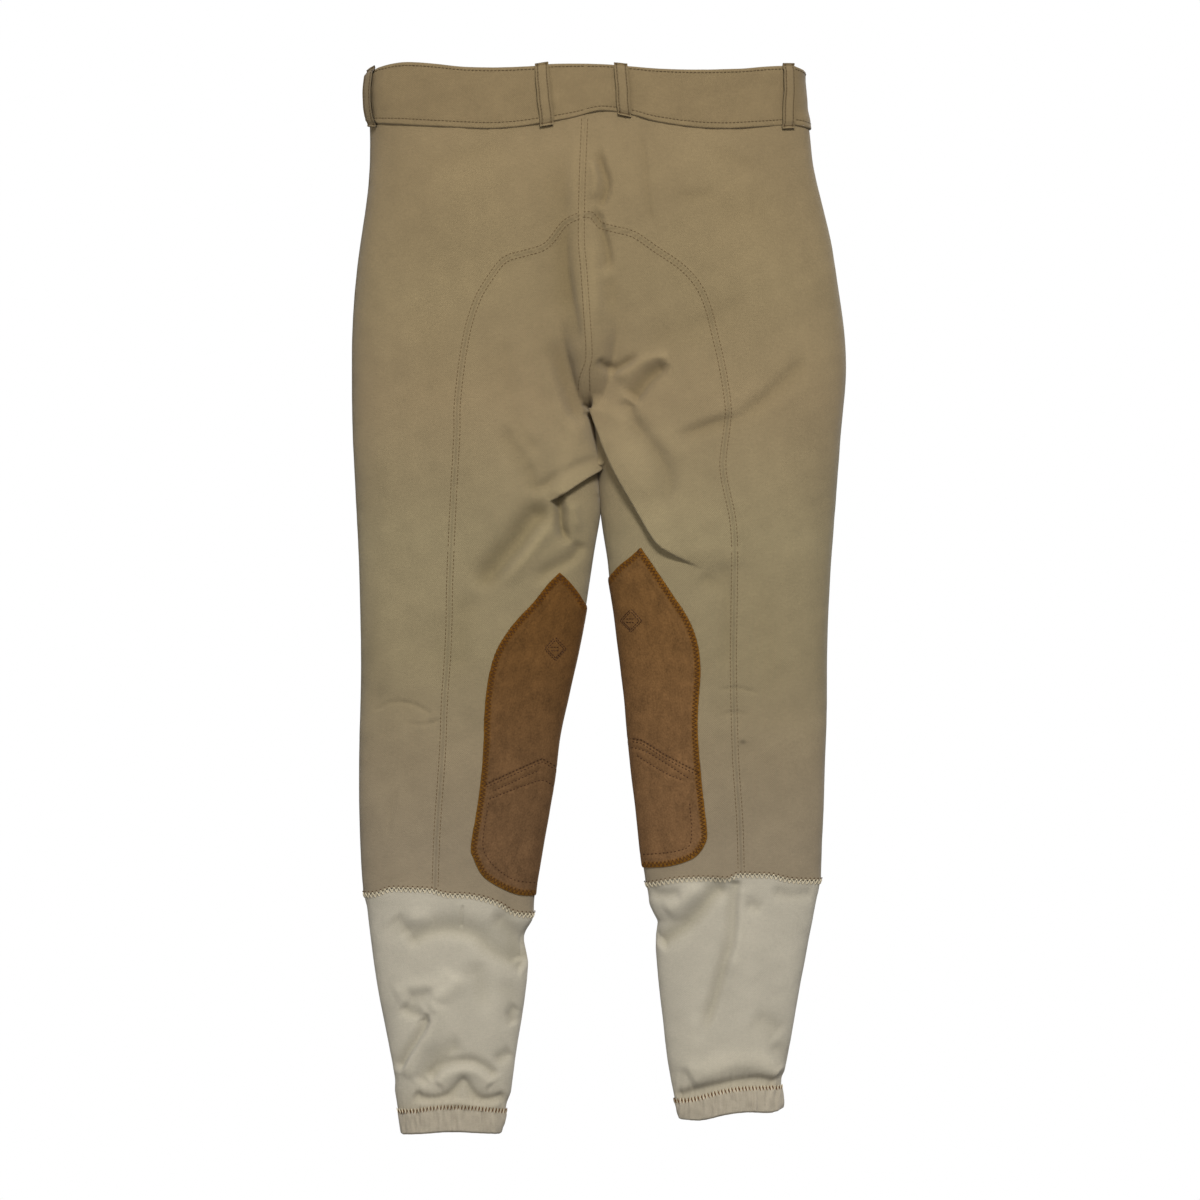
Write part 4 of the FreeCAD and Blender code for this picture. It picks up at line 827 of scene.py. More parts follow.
def stitches(starts, ends, normals, radius, mat, arch=0.25):
    """Little raised stitches from each start to each end."""
    if len(starts) == 0:
        return None
    d = ends - starts
    along = unit(d)
    beside = unit(np.cross(along, normals))
    up = np.cross(beside, along)
    verts, norms = [], []
    for place, share, rise in STITCH_RINGS:
        rise = arch if rise is None else rise
        for k in range(6):
            a = k * math.pi / 3
            out = up * math.cos(a) + beside * math.sin(a)
            verts.append(starts + d * place + out * radius * share + up * rise * radius)
            norms.append(out)
    verts = flat(np.stack(verts, 1))
    quads = (np.arange(len(starts)) * 30)[:, None, None] + stitch_quads()[None]
    return part(verts, quads.reshape(-1, 4), flat(np.stack(norms, 1)), verts[:, [0, 2, 1]],
                np.full(verts.shape, 0.5), mat)


def topstitch(line, place, mat="thread_tan", length=2.5, gap=1.1, radius=0.34, keep=None):
    a = walk(line, length + gap, 0.6)
    b = walk(line, length + gap, 0.6 + length)
    n = min(len(a), len(b))
    a, b = a[:n], b[:n]
    if keep is not None:
        m = keep(a)
        a, b = a[m], b[m]
    if len(a) == 0:
        return None
    starts, normals = place(a)
    return stitches(starts, place(b)[0], normals, radius, mat)


def zigzag(line, place, half_width, pitch, radius, mat, keep):
    c = walk(line, pitch / 2, 0.2)
    sway = np.where(np.arange(len(c)) % 2 == 0, 1.0, -1.0)[:, None]
    c = offset(c, sway * half_width)
    m = keep(c[:-1])
    starts, normals = place(c[:-1][m])
    return stitches(starts, place(c[1:][m])[0], normals, radius, mat, arch=0.1)


def rail_stitches(line, normals, start, pitch, length, radius, mat, measured=None):
    """Stitches along a line in space, spaced along the measured line if one is given."""
    lengths = run_lengths(line if measured is None else measured)
    at = np.arange(start, lengths[-1] - 3.0, pitch)
    return stitches(sample(line, lengths, at), sample(line, lengths, at + length),
                    sample(normals, lengths, at), radius, mat)


def front_stitches(start, end, first, y_at, radius, mat):
    """A straight row of stitches facing +y between two (x, z) points."""
    ends = np.array([start, end], float)
    a = walk(ends, 3.2, first)[:-1]
    b = a + unit(ends[1] - ends[0]) * 2.1
    at_y = lambda p: np.stack([p[:, 0], y_at(p[:, 0], p[:, 1]), p[:, 1]], 1)
    return stitches(at_y(a), at_y(b), np.array([0, 1.0, 0]), radius, mat)


def between(low, high=math.inf):
    return lambda p: (p[:, 1] > low) & (p[:, 1] < high)


# ------------------------------------------------------------------ materials
class Kit:
    """A named material with a principled shader, and short ways to wire its nodes."""

    def __init__(self, name):
        m = bpy.data.materials.new(name)
        m.use_nodes = True
        self.tree = m.node_tree
        self.tree.nodes.clear()
        out = self.node("ShaderNodeOutputMaterial")
        self.bsdf = self.node("ShaderNodeBsdfPrincipled")
        self.put(out.inputs[0], self.bsdf.outputs[0])
        MATS[name] = m

    def node(self, kind, **settings):
        node = self.tree.nodes.new(kind)
        for key, value in settings.items():
            setattr(node, key, value)
        return node

    def put(self, socket, value):
        if isinstance(value, bpy.types.NodeSocket):
            self.tree.links.new(value, socket)
        else:
            socket.default_value = value

    def surface(self, **inputs):
        for key, value in inputs.items():
            self.put(self.bsdf.inputs[key.replace("_", " ")], value)

    def math(self, op, a, b=0.0):
        node = self.node("ShaderNodeMath", operation=op)
        for socket, value in zip(node.inputs, (a, b, 0.0)):
            self.put(socket, value)
        return node.outputs[0]

    def vector(self, op, a, b):
        node = self.node("ShaderNodeVectorMath", operation=op)
        self.put(node.inputs[0], a)
        self.put(node.inputs["Scale"] if op == "SCALE" else node.inputs[1], b)
        return node.outputs[0]

    def noise(self, coords, stretch, detail=2.0, rough=0.5):
        node = self.node("ShaderNodeTexNoise")
        self.put(node.inputs["Vector"], self.vector("MULTIPLY", coords, stretch))
        node.inputs["Scale"].default_value = 1.0
        node.inputs["Detail"].default_value = detail
        node.inputs["Roughness"].default_value = rough
        return node.outputs["Fac"]

    def scaled(self, a, k):
        return self.math("MULTIPLY", a, k)

    def centred(self, noise, amount):
        return self.scaled(self.math("SUBTRACT", noise, 0.5), amount)

    def vary(self, total, noise, amount):
        return self.math("ADD", total, self.centred(noise, amount))

    def smoothstep(self, value, low, high):
        node = self.node("ShaderNodeMapRange", interpolation_type="SMOOTHSTEP")
        self.put(node.inputs["Value"], value)
        node.inputs["From Min"].default_value = low
        node.inputs["From Max"].default_value = high
        return node.outputs[0]

    def mix(self, factor, a, b):
        node = self.node("ShaderNodeMix", data_type="RGBA")
        self.put(node.inputs["Factor"], factor)
        node.inputs["A"].default_value = (*a, 1)
        node.inputs["B"].default_value = (*b, 1)
        return node.outputs["Result"]

    def attribute(self, name, output):
        return self.node("ShaderNodeAttribute", attribute_name=name).outputs[output]

    def cloth(self):
        coords = self.attribute("cloth", "Vector")
        split = self.node("ShaderNodeSeparateXYZ")
        self.put(split.inputs[0], coords)
        return coords, split.outputs

    def bump(self, height, strength, distance):
        node = self.node("ShaderNodeBump")
        node.inputs["Strength"].default_value = strength
        node.inputs["Distance"].default_value = distance
        self.put(node.inputs["Height"], height)
        self.put(self.bsdf.inputs["Normal"], node.outputs[0])


def weave(name, colour=None, pitch=1.0, slope=0.9, contrast=0.06, mottle=0.10, rough=0.92,
          sheen=0.15, depth=0.00022, cross=0.5, melange=0.06):
    """Woven or knitted cloth, coloured by its tint attribute unless a colour is given."""
    kit = Kit(name)
    coords, (u, v, _) = kit.cloth()
    wobble = kit.scaled(kit.noise(coords, (0.12, 0.12, 0.12)), 1.4)
    wave = 6.2832 / pitch
    slant = kit.math("ADD", kit.math("ADD", u, kit.scaled(v, slope)), wobble)
    diagonal = kit.math("SINE", kit.scaled(slant, wave))
    counter = kit.math("SUBTRACT", kit.scaled(u, 1.0), kit.scaled(v, 0.4))
    yarn = kit.math("SINE", kit.scaled(counter, wave * 1.9))
    threads = kit.math("ADD", kit.scaled(diagonal, 1 - cross * 0.5),
                       kit.scaled(yarn, cross * 0.5))
    streak = kit.noise(coords, (0.9, 0.045, 0.1), 2.0, 0.6)
    fleck = kit.noise(coords, (1.1, 0.8, 1.0), 2.0, 0.6)
    tone = kit.math("ADD", 1.0, kit.scaled(threads, contrast))
    for noise, amount in (
            (kit.noise(coords, (0.02, 0.02, 0.02), 3.0, 0.55), mottle),          # broad
            (streak, melange),
            (fleck, melange * 6.0),
            (kit.noise(coords, (0.16, 0.75, 0.5), 2.0, 0.6), melange * 3.4),     # slubs
            (kit.noise(coords, (0.34, 0.26, 0.3), 3.0, 0.72), melange * 3.6),    # clumps
            (kit.noise(coords, (0.09, 0.07, 0.08), 2.0, 0.6), melange * 1.2)):   # worn
        tone = kit.vary(tone, noise, amount)
    if colour is None:
        colour = kit.attribute("tint", "Color")
    kit.surface(Base_Color=kit.vector("SCALE", colour, tone), Specular_IOR_Level=0.15,
                Roughness=kit.vary(rough, streak, 0.08), Sheen_Weight=sheen,
                Sheen_Roughness=0.5)
    kit.bump(kit.math("ADD", threads, kit.scaled(fleck, 0.8)), strength=0.5, distance=depth)


def suede(name, colour, edge_colour):
    """Napped suede; the third cloth coordinate is the distance in from the raw edge."""
    kit = Kit(name)
    coords, (_, height, edge) = kit.cloth()
    plane = kit.vector("MULTIPLY", coords, (1, 1, 0))
    nap = kit.noise(plane, (0.62, 0.5, 1), 4.0, 0.75)
    streak = kit.noise(plane, (0.6, 0.07, 1))
    tone = kit.math("ADD", 1.0, kit.centred(nap, 1.25))
    for noise, amount in (
            (kit.noise(plane, (0.26, 0.2, 1), 3.0, 0.7), 0.55),      # tufts
            (kit.noise(plane, (0.10, 0.055, 1), 4.0, 0.62), 0.85),   # rubbed places
            (kit.noise(plane, (0.045, 0.045, 1)), 0.36),             # clouds
            (streak, 0.16)):
        tone = kit.vary(tone, noise, amount)
    fuzz = kit.noise(plane, (0.8, 0.8, 1), 2.0, 0.6)
    inner = kit.smoothstep(kit.vary(edge, fuzz, 8.0), low=3.2, high=6.6)
    base = kit.mix(inner, edge_colour, colour)
    fade = kit.mix(kit.smoothstep(height, low=250.0, high=520.0),
                   (1.02, 1.07, 1.26), (0.93, 0.91, 0.80))
    tint = kit.vector("MULTIPLY", kit.attribute("tint", "Color"), fade)
    base = kit.vector("MULTIPLY", base, kit.vector("SCALE", tint, 2.0))
    # the raw edge is rougher: tufts stand up between the stitches
    raw = kit.centred(kit.noise(plane, (0.55, 0.55, 1), 3.0, 0.7), 1.7)
    near_edge = kit.math("SUBTRACT", 1.0, inner)
    tone = kit.math("ADD", tone, kit.math("MULTIPLY", raw, near_edge))
    kit.surface(Base_Color=kit.vector("SCALE", base, tone), Roughness=0.95,
                Specular_IOR_Level=0.08, Sheen_Weight=0.18, Sheen_Roughness=0.35,
                Sheen_Tint=(0.9, 0.62, 0.4, 1))
    kit.bump(kit.math("ADD", nap, kit.scaled(streak, 0.3)), strength=0.6, distance=0.0005)


def thread(name, colour):
    kit = Kit(name)
    coords = kit.node("ShaderNodeTexCoord").outputs["Object"]
    tone = kit.math("ADD", 0.85, kit.scaled(kit.noise(coords, (900, 900, 900)), 0.35))
    twist = kit.node("ShaderNodeTexWave", wave_type="BANDS", bands_direction="DIAGONAL")
    kit.put(twist.inputs["Vector"], kit.vector("MULTIPLY", coords, (500, 500, 500)))
    kit.surface(Base_Color=kit.vector("SCALE", colour, tone), Roughness=0.7,
                Specular_IOR_Level=0.25)
    kit.bump(twist.outputs["Fac"], strength=0.5, distance=0.0001)


def metal(name, colour):
    kit = Kit(name)
    coords = kit.node("ShaderNodeTexCoord").outputs["Object"]
    wear = kit.noise(coords, (260, 260, 260), 4.0, 0.6)
    tone = kit.math("ADD", 0.72, kit.scaled(wear, 0.5))
    kit.surface(Base_Color=kit.vector("SCALE", colour, tone), Metallic=1.0,
                Roughness=kit.math("ADD", 0.32, kit.scaled(wear, 0.22)))
    kit.bump(kit.noise(coords, (1800, 1800, 600)), strength=0.25, distance=0.00005)


weave("twill", pitch=1.6, contrast=0.05, mottle=0.12, depth=0.0003)
weave("sock", pitch=1.5, slope=1.0, contrast=0.035, mottle=0.07, cross=0.9, rough=0.88,
      sheen=0.2, depth=0.0003, melange=0.05)
weave("tape", colour=lin(112, 94, 64), pitch=0.9, slope=0.2, contrast=0.12, mottle=0.06)
weave("lining", colour=lin(176, 164, 140), pitch=0.8, slope=0.0, contrast=0.05, mottle=0.08)
weave("satin", colour=lin(222, 219, 211), pitch=0.5, slope=0.1, contrast=0.03, mottle=0.03,
      rough=0.5)
suede("suede", colour=lin(103, 74, 44), edge_colour=lin(104, 68, 20))
for thread_name, rgb in (
        ("tan", (98, 78, 50)), ("brown", (98, 62, 24)), ("dark", (84, 56, 30)),
        ("cream", (212, 199, 170)), ("gold", (86, 58, 28)), ("olive", (84, 67, 42)),
        ("rust", (76, 45, 12)), ("mark", (64, 37, 16))):
    thread("thread_" + thread_name, lin(*rgb))
metal("brass", (0.50, 0.37, 0.18))
metal("steel", (0.48, 0.45, 0.40))

# ------------------------------------------------------------------ list of pieces
PIECES = {}


def piece(name, slot, rig, *parts, nodes=None, side=""):
    """Enters a piece; rig is "hip" or "knee" for a piece baked where it stands, or the bone it
    rides on.
    """
    PIECES[name] = dict(parts=list(parts), nodes=nodes or [name], slot=slot, rig=rig, side=side)


def add(name, *parts):
    PIECES[name]["parts"].extend(parts)


# ------------------------------------------------------------------ trouser halves
def curve_z(points, x):
    return np.interp(x, *smooth_line(points).T)


def ring_z(points, turn, x, wave=0.0):
    """z of a ring: a curve on the back, a line between its ends on the front."""
    (x0, z0), (x1, z1) = points[0], points[-1]
    ripple = wave * np.sin(x / 17.0) * np.clip(np.abs(np.sin(2 * np.pi * turn)), 0, 1)
    return np.where(turn <= 0.5, curve_z(points, x), np.interp(x, [x0, x1], [z0, z1]) + ripple)


def band_edge(points, x, back, front_z, ends, fade):
    """z of a waistband edge: a curve on the back, settling to front_z on the front."""
    end = np.where(x < 0, *ends)
    away = np.exp(-np.abs(x - end) / fade)
    return np.where(back, curve_z(points, x), front_z + (curve_z(points, end) - front_z) * away)


def band_low(x, back):
    # the side points fade from one pair of places and are read at the same pair
    return band_edge(BAND_LOW, x, back, 905.0, (-209, 191), 40.0)


def band_top(x, back):
    return band_edge(BAND_TOP, x, back, 957.0, (-205, 184), 30.0)


def solve_z(side, turn, z_of_x, guess):
    """z of a curve given as a function of x, at each turn."""
    z = np.full(turn.shape, guess, float)
    for _ in range(12):
        z = z_of_x(tube_point(side, turn, z)[..., 0])
    return z


def turn_columns(back, front):
    return np.concatenate([np.linspace(0, 0.5, back + 1), np.linspace(0.5, 1.0, front + 1)[1:]])


TURNS = turn_columns(BACK_COLS, FRONT_COLS)


def panel_sheet(side, turn, z, closed, flip, shape):
    """What the panels of one height share: a shell maker and masks of cells."""
    points, folds = shape
    normals, quads = tube_sheet(points, closed, flip)
    x = tube_point(side, turn, z)[..., 0]
    back = turn <= 0.5
    off_back, off_front = np.zeros_like(x), np.zeros_like(x)
    off_back[back] = nearest(BACK_SEAM[side], x[back], z[back])[0]
    off_front[~back] = nearest(FRONT_SEAM[side], x[~back], z[~back])[0]
    dark = np.where(back, 0.2 * np.exp(-(off_back / 0.9) ** 2),
                    0.2 * np.exp(-(off_front / 0.9) ** 2) * (z < 662))
    # colour: dark seam lines, and painted shade in the folds with painted highlights on their
    # crowns
    tint = cloth_tone(x, z, back) * (1 - dark)[..., None] * painted_fold_shade(folds)
    coords = cloth_coords(arc_lengths(points, BACK_COLS), z)
    make = lambda mask: shell(points, normals, quads[mask], 0.9, coords, tint, "twill")
    sign = INWARD[side]
    return (make, cell_mean(turn) < 0.5, cell_mean(off_back) * sign > 0,
            cell_mean(off_front) * sign > 0)


def upper_panels(side):
    fine, coarse = ((1.1, 2.0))
    rows = np.unique(np.concatenate([
        np.arange(SPLIT_Z, 655, fine), [CROTCH_Z], CROTCH_Z + np.array([0.4, 1.0, 2.0]),
        np.arange(658.2, 700, fine), np.arange(700, 900, coarse), [900.0]]))
    top = solve_z(side, TURNS, lambda x: band_low(x, TURNS <= 0.5), 905.0) + 3.0
    z = np.repeat(rows[:, None], len(TURNS), 1)
    high = rows > 700
    z[high] = 700 + ((rows[high] - 700) / 200.0)[:, None] * (top[None, :] - 700)
    turn = np.repeat(TURNS[None, :], len(rows), 0)
    points, _, folds = cloth_and_folds(side, turn, z)
    make, back, in_back, in_front = panel_sheet(
        side, turn, z, rows <= CROTCH_Z, side == "left", (points, folds))
    cell_z = cell_mean(z)
    inner = np.where(back, in_back, in_front & (cell_z < 655)) & ~(back & (cell_z > 823.5))
    for name, mask, nodes in (
            ("back_upper", back & ~inner, ("back_panel", "thigh_back_panel")),
            ("seat_inner_upper", inner, ("seat_panel", "thigh_inner_panel")),
            ("front_upper", ~back & ~inner, ("front_panel", "thigh_front_panel"))):
        piece(f"{side}_{name}", "shell_twill", "hip", make(mask),
              nodes=[f"{side}_{n}" for n in nodes], side=side)


def lower_panels(side, sock_z):
    share = np.linspace(0, 1, (230))
    z = SPLIT_Z + share[:, None] * (sock_z[None, :] - SPLIT_Z)
    turn = np.repeat(TURNS[None, :], len(share), 0)
    points, n, folds = cloth_and_folds(side, turn, z)
    # the cloth lifts a little where it laps the sock
    points = points + n * (np.exp(-(z - sock_z[None, :]) / 3.0) * 0.9)[..., None]
    make, back, in_back, in_front = panel_sheet(
        side, turn, z, np.ones(len(share), bool), side != "left", (points, folds))
    inner = np.where(back, in_back, in_front)
    for name, mask, node in (("back_lower", back & ~inner, "calf_back_panel"),
                             ("inner_lower", inner, "calf_inner_panel"),
                             ("front_lower", ~back & ~inner, "calf_front_panel")):
        piece(f"{side}_{name}", "shell_twill", "knee", make(mask),
              nodes=[f"{side}_{node}"], side=side)


def seam_topstitching(side):
    """Twin topstitching, one row on each side of the seams."""
    back_place, front_place = on_cloth(side, False), on_cloth(side, True)
    back_end = 222 if side == "left" else 236
    above, below = between(SPLIT_Z + 1), between(240, SPLIT_Z - 3)
    clear = lambda p: above(p) & (np.abs(p[:, 0] - CROTCH_X) > 6)
    for d in (2.7, -2.7):
        inward = d * INWARD[side] > 0
        upper, lower = ("seat_inner_upper", "inner_lower") if inward else \
            ("back_upper", "back_lower")
        line = offset(BACK_SEAM[side], d)
        add(f"{side}_{upper}", topstitch(line, back_place, keep=above))
        add(f"{side}_{lower}",
            topstitch(line, back_place, keep=between(back_end, SPLIT_Z - 3)))
        if not inward:
            upper, lower = "front_upper", "front_lower"
        line = offset(FRONT_SEAM[side], d)
        add(f"{side}_{upper}", topstitch(line, front_place, keep=clear))
        add(f"{side}_{lower}", topstitch(line, front_place, keep=below))
    line = offset(CENTRE_SEAM, -2.7 * INWARD[side])
    add(f"{side}_back_upper", topstitch(line, back_place, keep=between(826, 912)))
    add(f"{side}_seat_inner_upper", topstitch(line, back_place, keep=between(668, 826)))


def sock(side, sock_z, hem_z):
    """The knitted sock bottom, tucked 1.5 mm in under the trouser leg."""
    rows = 170
    share = np.linspace(0, 1, rows)
    z = (sock_z + 6)[None, :] + share[:, None] * (hem_z - sock_z - 6 - 0.4)[None, :]
    turn = np.repeat(TURNS[None, :], rows, 0)
    points, n, folds = cloth_and_folds(side, turn, z, seams=False)
    points = points - n * (1.5 * ease((z - sock_z[None, :] + 2.0) / 3.5))[..., None]
    normals, quads = tube_sheet(points, np.ones(rows, bool), side != "left")
    x = tube_point(side, turn, z)[..., 0]
    above_hem = np.maximum(z - hem_z[None, :], 0)
    # painted shade: the sock darker and browner just above the puffed hem, plus painted fold
    # shade and highlights; the drift term is random tone
    shade = 1 + 0.03 * drift(x, z, 60, 21) - 0.10 * np.exp(-above_hem / 16.0)
    warm = np.exp(-above_hem / 14.0)[..., None] * np.array([0.0, 0.035, 0.10])
    tint = SOCK_TINT * shade[..., None] * painted_fold_shade(folds) * (1 - warm)
    coords = cloth_coords(arc_lengths(points, BACK_COLS), z)
    piece(f"{side}_sock", "sock_knit", side + "_calf",
          shell(points, normals, quads, 0.8, coords, tint, "sock"),
          nodes=[f"{side}_sock_bottom"])


def hem_gathers(side, u, v):
    """46 random pleats round the hem, and fine ribs at its top; v runs down it."""
    g = np.zeros_like(u)
    rng = np.random.RandomState(41 if side == "left" else 42)
    low, high = u.min(), u.max()
    for k in range(46):
        centre = low + (high - low) * (k + rng.uniform(-0.35, 0.35)) / 46.0
        width = rng.uniform(1.1, 2.9)
        height = rng.uniform(0.25, 1.0) * (1 if k % 3 else -0.8)
        slant = rng.uniform(-7.0, 7.0)
        start, end = rng.uniform(-0.5, 0.35), rng.uniform(0.6, 1.6)
        gate = ease((v - start) / 0.3) * ease((end - v) / 0.3)
        g += height * np.exp(-((u - centre - slant * v) / width) ** 2) * gate
    return g + np.sin(u * TAU / 3.3 + 0.8 * np.sin(u / 9.0)) * np.exp(-v / 0.16) * 0.45


def hem(side, hem_z, end_z):
    rows = 40
    v = np.linspace(0, 1, rows)[:, None]
    turn = np.repeat(turn_columns(BACK_COLS * 2, FRONT_COLS * 2)[None, :], rows, 0)
    top, end = np.interp(turn[0], TURNS, hem_z), np.interp(turn[0], TURNS, end_z)
    z = top[None, :] + v * (end - top)[None, :]
    points, n = cloth_point(side, turn, z, seams=False)
    u = arc_lengths(points, BACK_COLS * 2)
    g = hem_gathers(side, u, v)
    lift = (0.55 + g * (0.9 - 0.55 * v ** 0.8) * ease(v / 0.12) * ease((1 - v) / 0.10)
            + 0.6 * np.sin(np.pi * v) ** 0.5 - 1.1 * ease((v - 0.93) / 0.07))
    points = points + n * lift[..., None]
    normals, quads = tube_sheet(points, np.ones(rows, bool), side != "left")
    # painted shade in the hollows of the gathers and painted highlight on their crowns; darker
    # towards the top of the hem, with a little random tone
    tint = (HEM_TINT * (1 + 0.075 * np.clip(g, -1.2, 1.0) - 0.03 * (1 - v))[..., None]
            * (1 + 0.04 * drift(u, z, 15, 4))[..., None])
    piece(f"{side}_hem", "hem_knit", side + "_calf",
          shell(points, normals, quads, 2.0, cloth_coords(u, z), tint, "sock"),
          nodes=[f"{side}_hem_band", f"{side}_hem_elastic"])


def zigzag_places(side, turn, edge_z, pitch):
    """Turns and heights every pitch along an edge, and which of them are upper points."""
    z = np.interp(turn, TURNS, edge_z)
    lengths = run_lengths(cloth_point(side, turn, z)[0])
    at = np.arange(0.5, lengths[-1], pitch)
    return np.interp(at, lengths, turn), np.interp(at, lengths, z), np.arange(len(at)) % 2 == 0


def sock_zigzag(side, turn, edge_z):
    """Cream zigzag over the sock seam, with short gold stitches along its top."""
    turn, z, up = zigzag_places(side, turn, edge_z, 2.15)
    p, n = cloth_point(side, turn, z + np.where(up, 0.9, -4.0), np.where(up, 1.35, 0.5))
    top, top_n = cloth_point(side, turn[up], z[up] + 1.7, 1.35)
    slant = unit(np.gradient(top, axis=0)) + np.array([0.0, 0.0, 0.7])
    add(f"{side}_sock", stitches(p[:-1], p[1:], n[:-1], 0.5, "thread_cream", 0.2),
        stitches(top - slant * 0.55, top + slant * 0.55, top_n, 0.48, "thread_gold", 0.1))


def hem_zigzag(side, turn, edge_z):
    """Brown and cream zigzag over the top of the hem."""
    turn, z, up = zigzag_places(side, turn, edge_z, 1.6)
    p, n = cloth_point(side, turn, z + np.where(up, 2.5, -2.5), 1.15)
    a, b, n, down = p[:-1], p[1:], n[:-1], up[:-1]
    for m, mat in ((down, "thread_brown"), (~down, "thread_cream")):
        add(f"{side}_hem", stitches(a[m], b[m], n[m], 0.5, mat, 0.2))


for side in SIDES:
    sock_z = solve_z(side, TURNS, lambda x: ring_z(SOCK_SEAM[side], TURNS, x, 2.0), 225.0)
    hem_z = solve_z(side, TURNS, lambda x: ring_z(HEM[side], TURNS, x), 25.0)
    end_z = solve_z(side, TURNS, lambda x: ring_z(HEM_END[side], TURNS, x), 5.0)
    upper_panels(side)
    lower_panels(side, sock_z)
    seam_topstitching(side)
    sock(side, sock_z, hem_z)
    hem(side, hem_z, end_z)
    back_turns = np.linspace(0.003, 0.497, 400)
    for half in (back_turns, 1 - back_turns):
        sock_zigzag(side, half, sock_z)
        hem_zigzag(side, half, hem_z)

# ------------------------------------------------------------------ suede knee patches, (x, z)
PATCH_SIDE = {
    "left": [
        (-35.1, 506.16), (-45.45, 495.9), (-58.86, 479.25), (-73.35, 463.68),
        (-83.7, 450.27), (-91.98, 435.78), (-97.2, 419.4), (-100.8, 398.7), (-102.87, 372.6),
        (-103.14, 356.4), (-105.48, 323.1), (-109.62, 292.5), (-114.75, 261.18),
        (-112.68, 251.1), (-106.47, 237.6), (-98.19, 229.5), (-83.7, 221.4), (-71.37, 216.9),
        (-58.95, 216), (-35.1, 215.1)],
    "right": [
        (37.35, 528.48), (45.63, 516.6), (55.98, 501.3), (66.33, 485.64), (75.6, 472.14),
        (82.8, 458.73), (88.02, 443.25), (90.54, 425.7), (90.54, 410.4), (89.1, 391.5),
        (88.38, 374.4), (88.74, 357.3), (90.45, 334.08), (92.7, 311.13), (95.04, 290.52),
        (96.75, 274.5), (96.21, 266.4), (91.62, 257.22), (84.6, 250.29), (72, 245.16),
        (58.32, 242.28), (41.04, 241.2), (18.9, 240.3)]}
PATCH_TIP = {
    "left": [(-26.1, 497.25), (-18.9, 488.25), (-12.33, 477.18), (0.9, 455.4)],
    "right": [(27.9, 519.75), (18.45, 512.1), (10.53, 503.1), (-2.7, 486.9)]}
PATCH = {s: np.concatenate([
    smooth_line(PATCH_SIDE[s], 2.5),
    smooth_line(PATCH_SIDE[s][:1] + PATCH_TIP[s], 2.5)[:0:-1]]) for s in SIDES}
MARK = {"left": (-39.6, 437.85), "right": (29.25, 463.23)}  # middle of the diamond
# three slanting lines across each patch; the first is angular and double stitched
CHEVRONS = {
    "left": [
        [(-101.7, 315.18), (-80.1, 325.35), (-51.75, 338.13), (-37.35, 328.95)],
        [(-94.14, 310.77), (-78.3, 318.15), (-63.09, 325.26), (-54.9, 328.32)],
        [(-99, 303.12), (-82.8, 309.6), (-67.23, 315.45), (-50.67, 320.04),
         (-41.4, 313.2)]],
    "right": [
        [(27, 356.4), (38.7, 354.78), (58.32, 342.18), (76.5, 332.46), (90, 325.8)],
        [(28.8, 349.38), (39.96, 346.77), (58.32, 336.42), (80.1, 322.02)],
        [(34.2, 342.18), (46.8, 334.08), (62.91, 324.9), (76.5, 320.04)]]}
CHEVRONS = {s: [np.array(first)] + [smooth_line(line, 3.0) for line in rest]
            for s, (first, *rest) in CHEVRONS.items()}
PATCH_INNER_ROW = {
    "left": [(-98.73, 300.6), (-102.87, 276.66), (-103.95, 261.18), (-100.26, 250.83),
             (-90.99, 240.48), (-79.65, 232.2), (-69.3, 229.14), (-56.7, 227.97)],
    "right": [(81.27, 299.7), (82.98, 276.66), (81.27, 261.9), (72, 257.22),
              (58.32, 254.88), (37.8, 252.99)]}
PATCH_LIFT = 1.4
PATCH_TURN = 0.262  # how far it reaches round each way from the inner edge


def patch_rise(side, x, z):
    """Height of the patch's quilting, and the distance in from its edge."""
    d = foot(PATCH[side], x, z)[0]
    h = (-0.35 * np.exp(-((d - 11.5) / 1.2) ** 2) - 0.08 * np.exp(-((d - 5.6) / 0.9) ** 2)
         + 0.2 * np.exp(-((d - 3.0) / 2.0) ** 2))
    for line, sunk, raised in zip(CHEVRONS[side], (0.5, 0.4, 0.4), (0.25, 0.12, 0.12)):
        off = nearest(line, x, z)[0]
        h = (h - sunk * np.exp(-(off / 1.1) ** 2)
             + raised * np.exp(-((np.abs(off) - 3.0) / 2.0) ** 2))
    mark_x, mark_z = MARK[side]
    r = (np.abs(x - mark_x) + np.abs(z - mark_z) * 0.9) / 9.0
    h = h + 0.45 * (1 / (1 + np.exp((r - 1) * 14))) - 0.3 * np.exp(-((r - 1.0) / 0.07) ** 2)
    off = np.abs(x - INNER[side](z))
    h = h * (0.3 + 0.7 * ease(off / 10.0)) + 0.16 * drift(x, z, 22.0, 31) * ease(off / 12.0)
    return h * ease(d / 1.5), d


def on_patch(side, front):
    cloth = on_cloth(side, front, PATCH_LIFT + 0.1)

    def place(points):
        p, n = cloth(points)
        return p + n * patch_rise(side, points[:, 0], points[:, 1])[0][:, None], n
    return place


def patch_tint(side, z):
    if side == "right":
        return np.full(z.shape + (3,), 0.5 * 1.18)
    k = ease((z - 250.0) / 270.0)[..., None]
    return 0.5 * (np.array([0.955, 0.975, 1.03]) * (1 - k) + np.array([0.935, 0.87, 0.72]) * k)


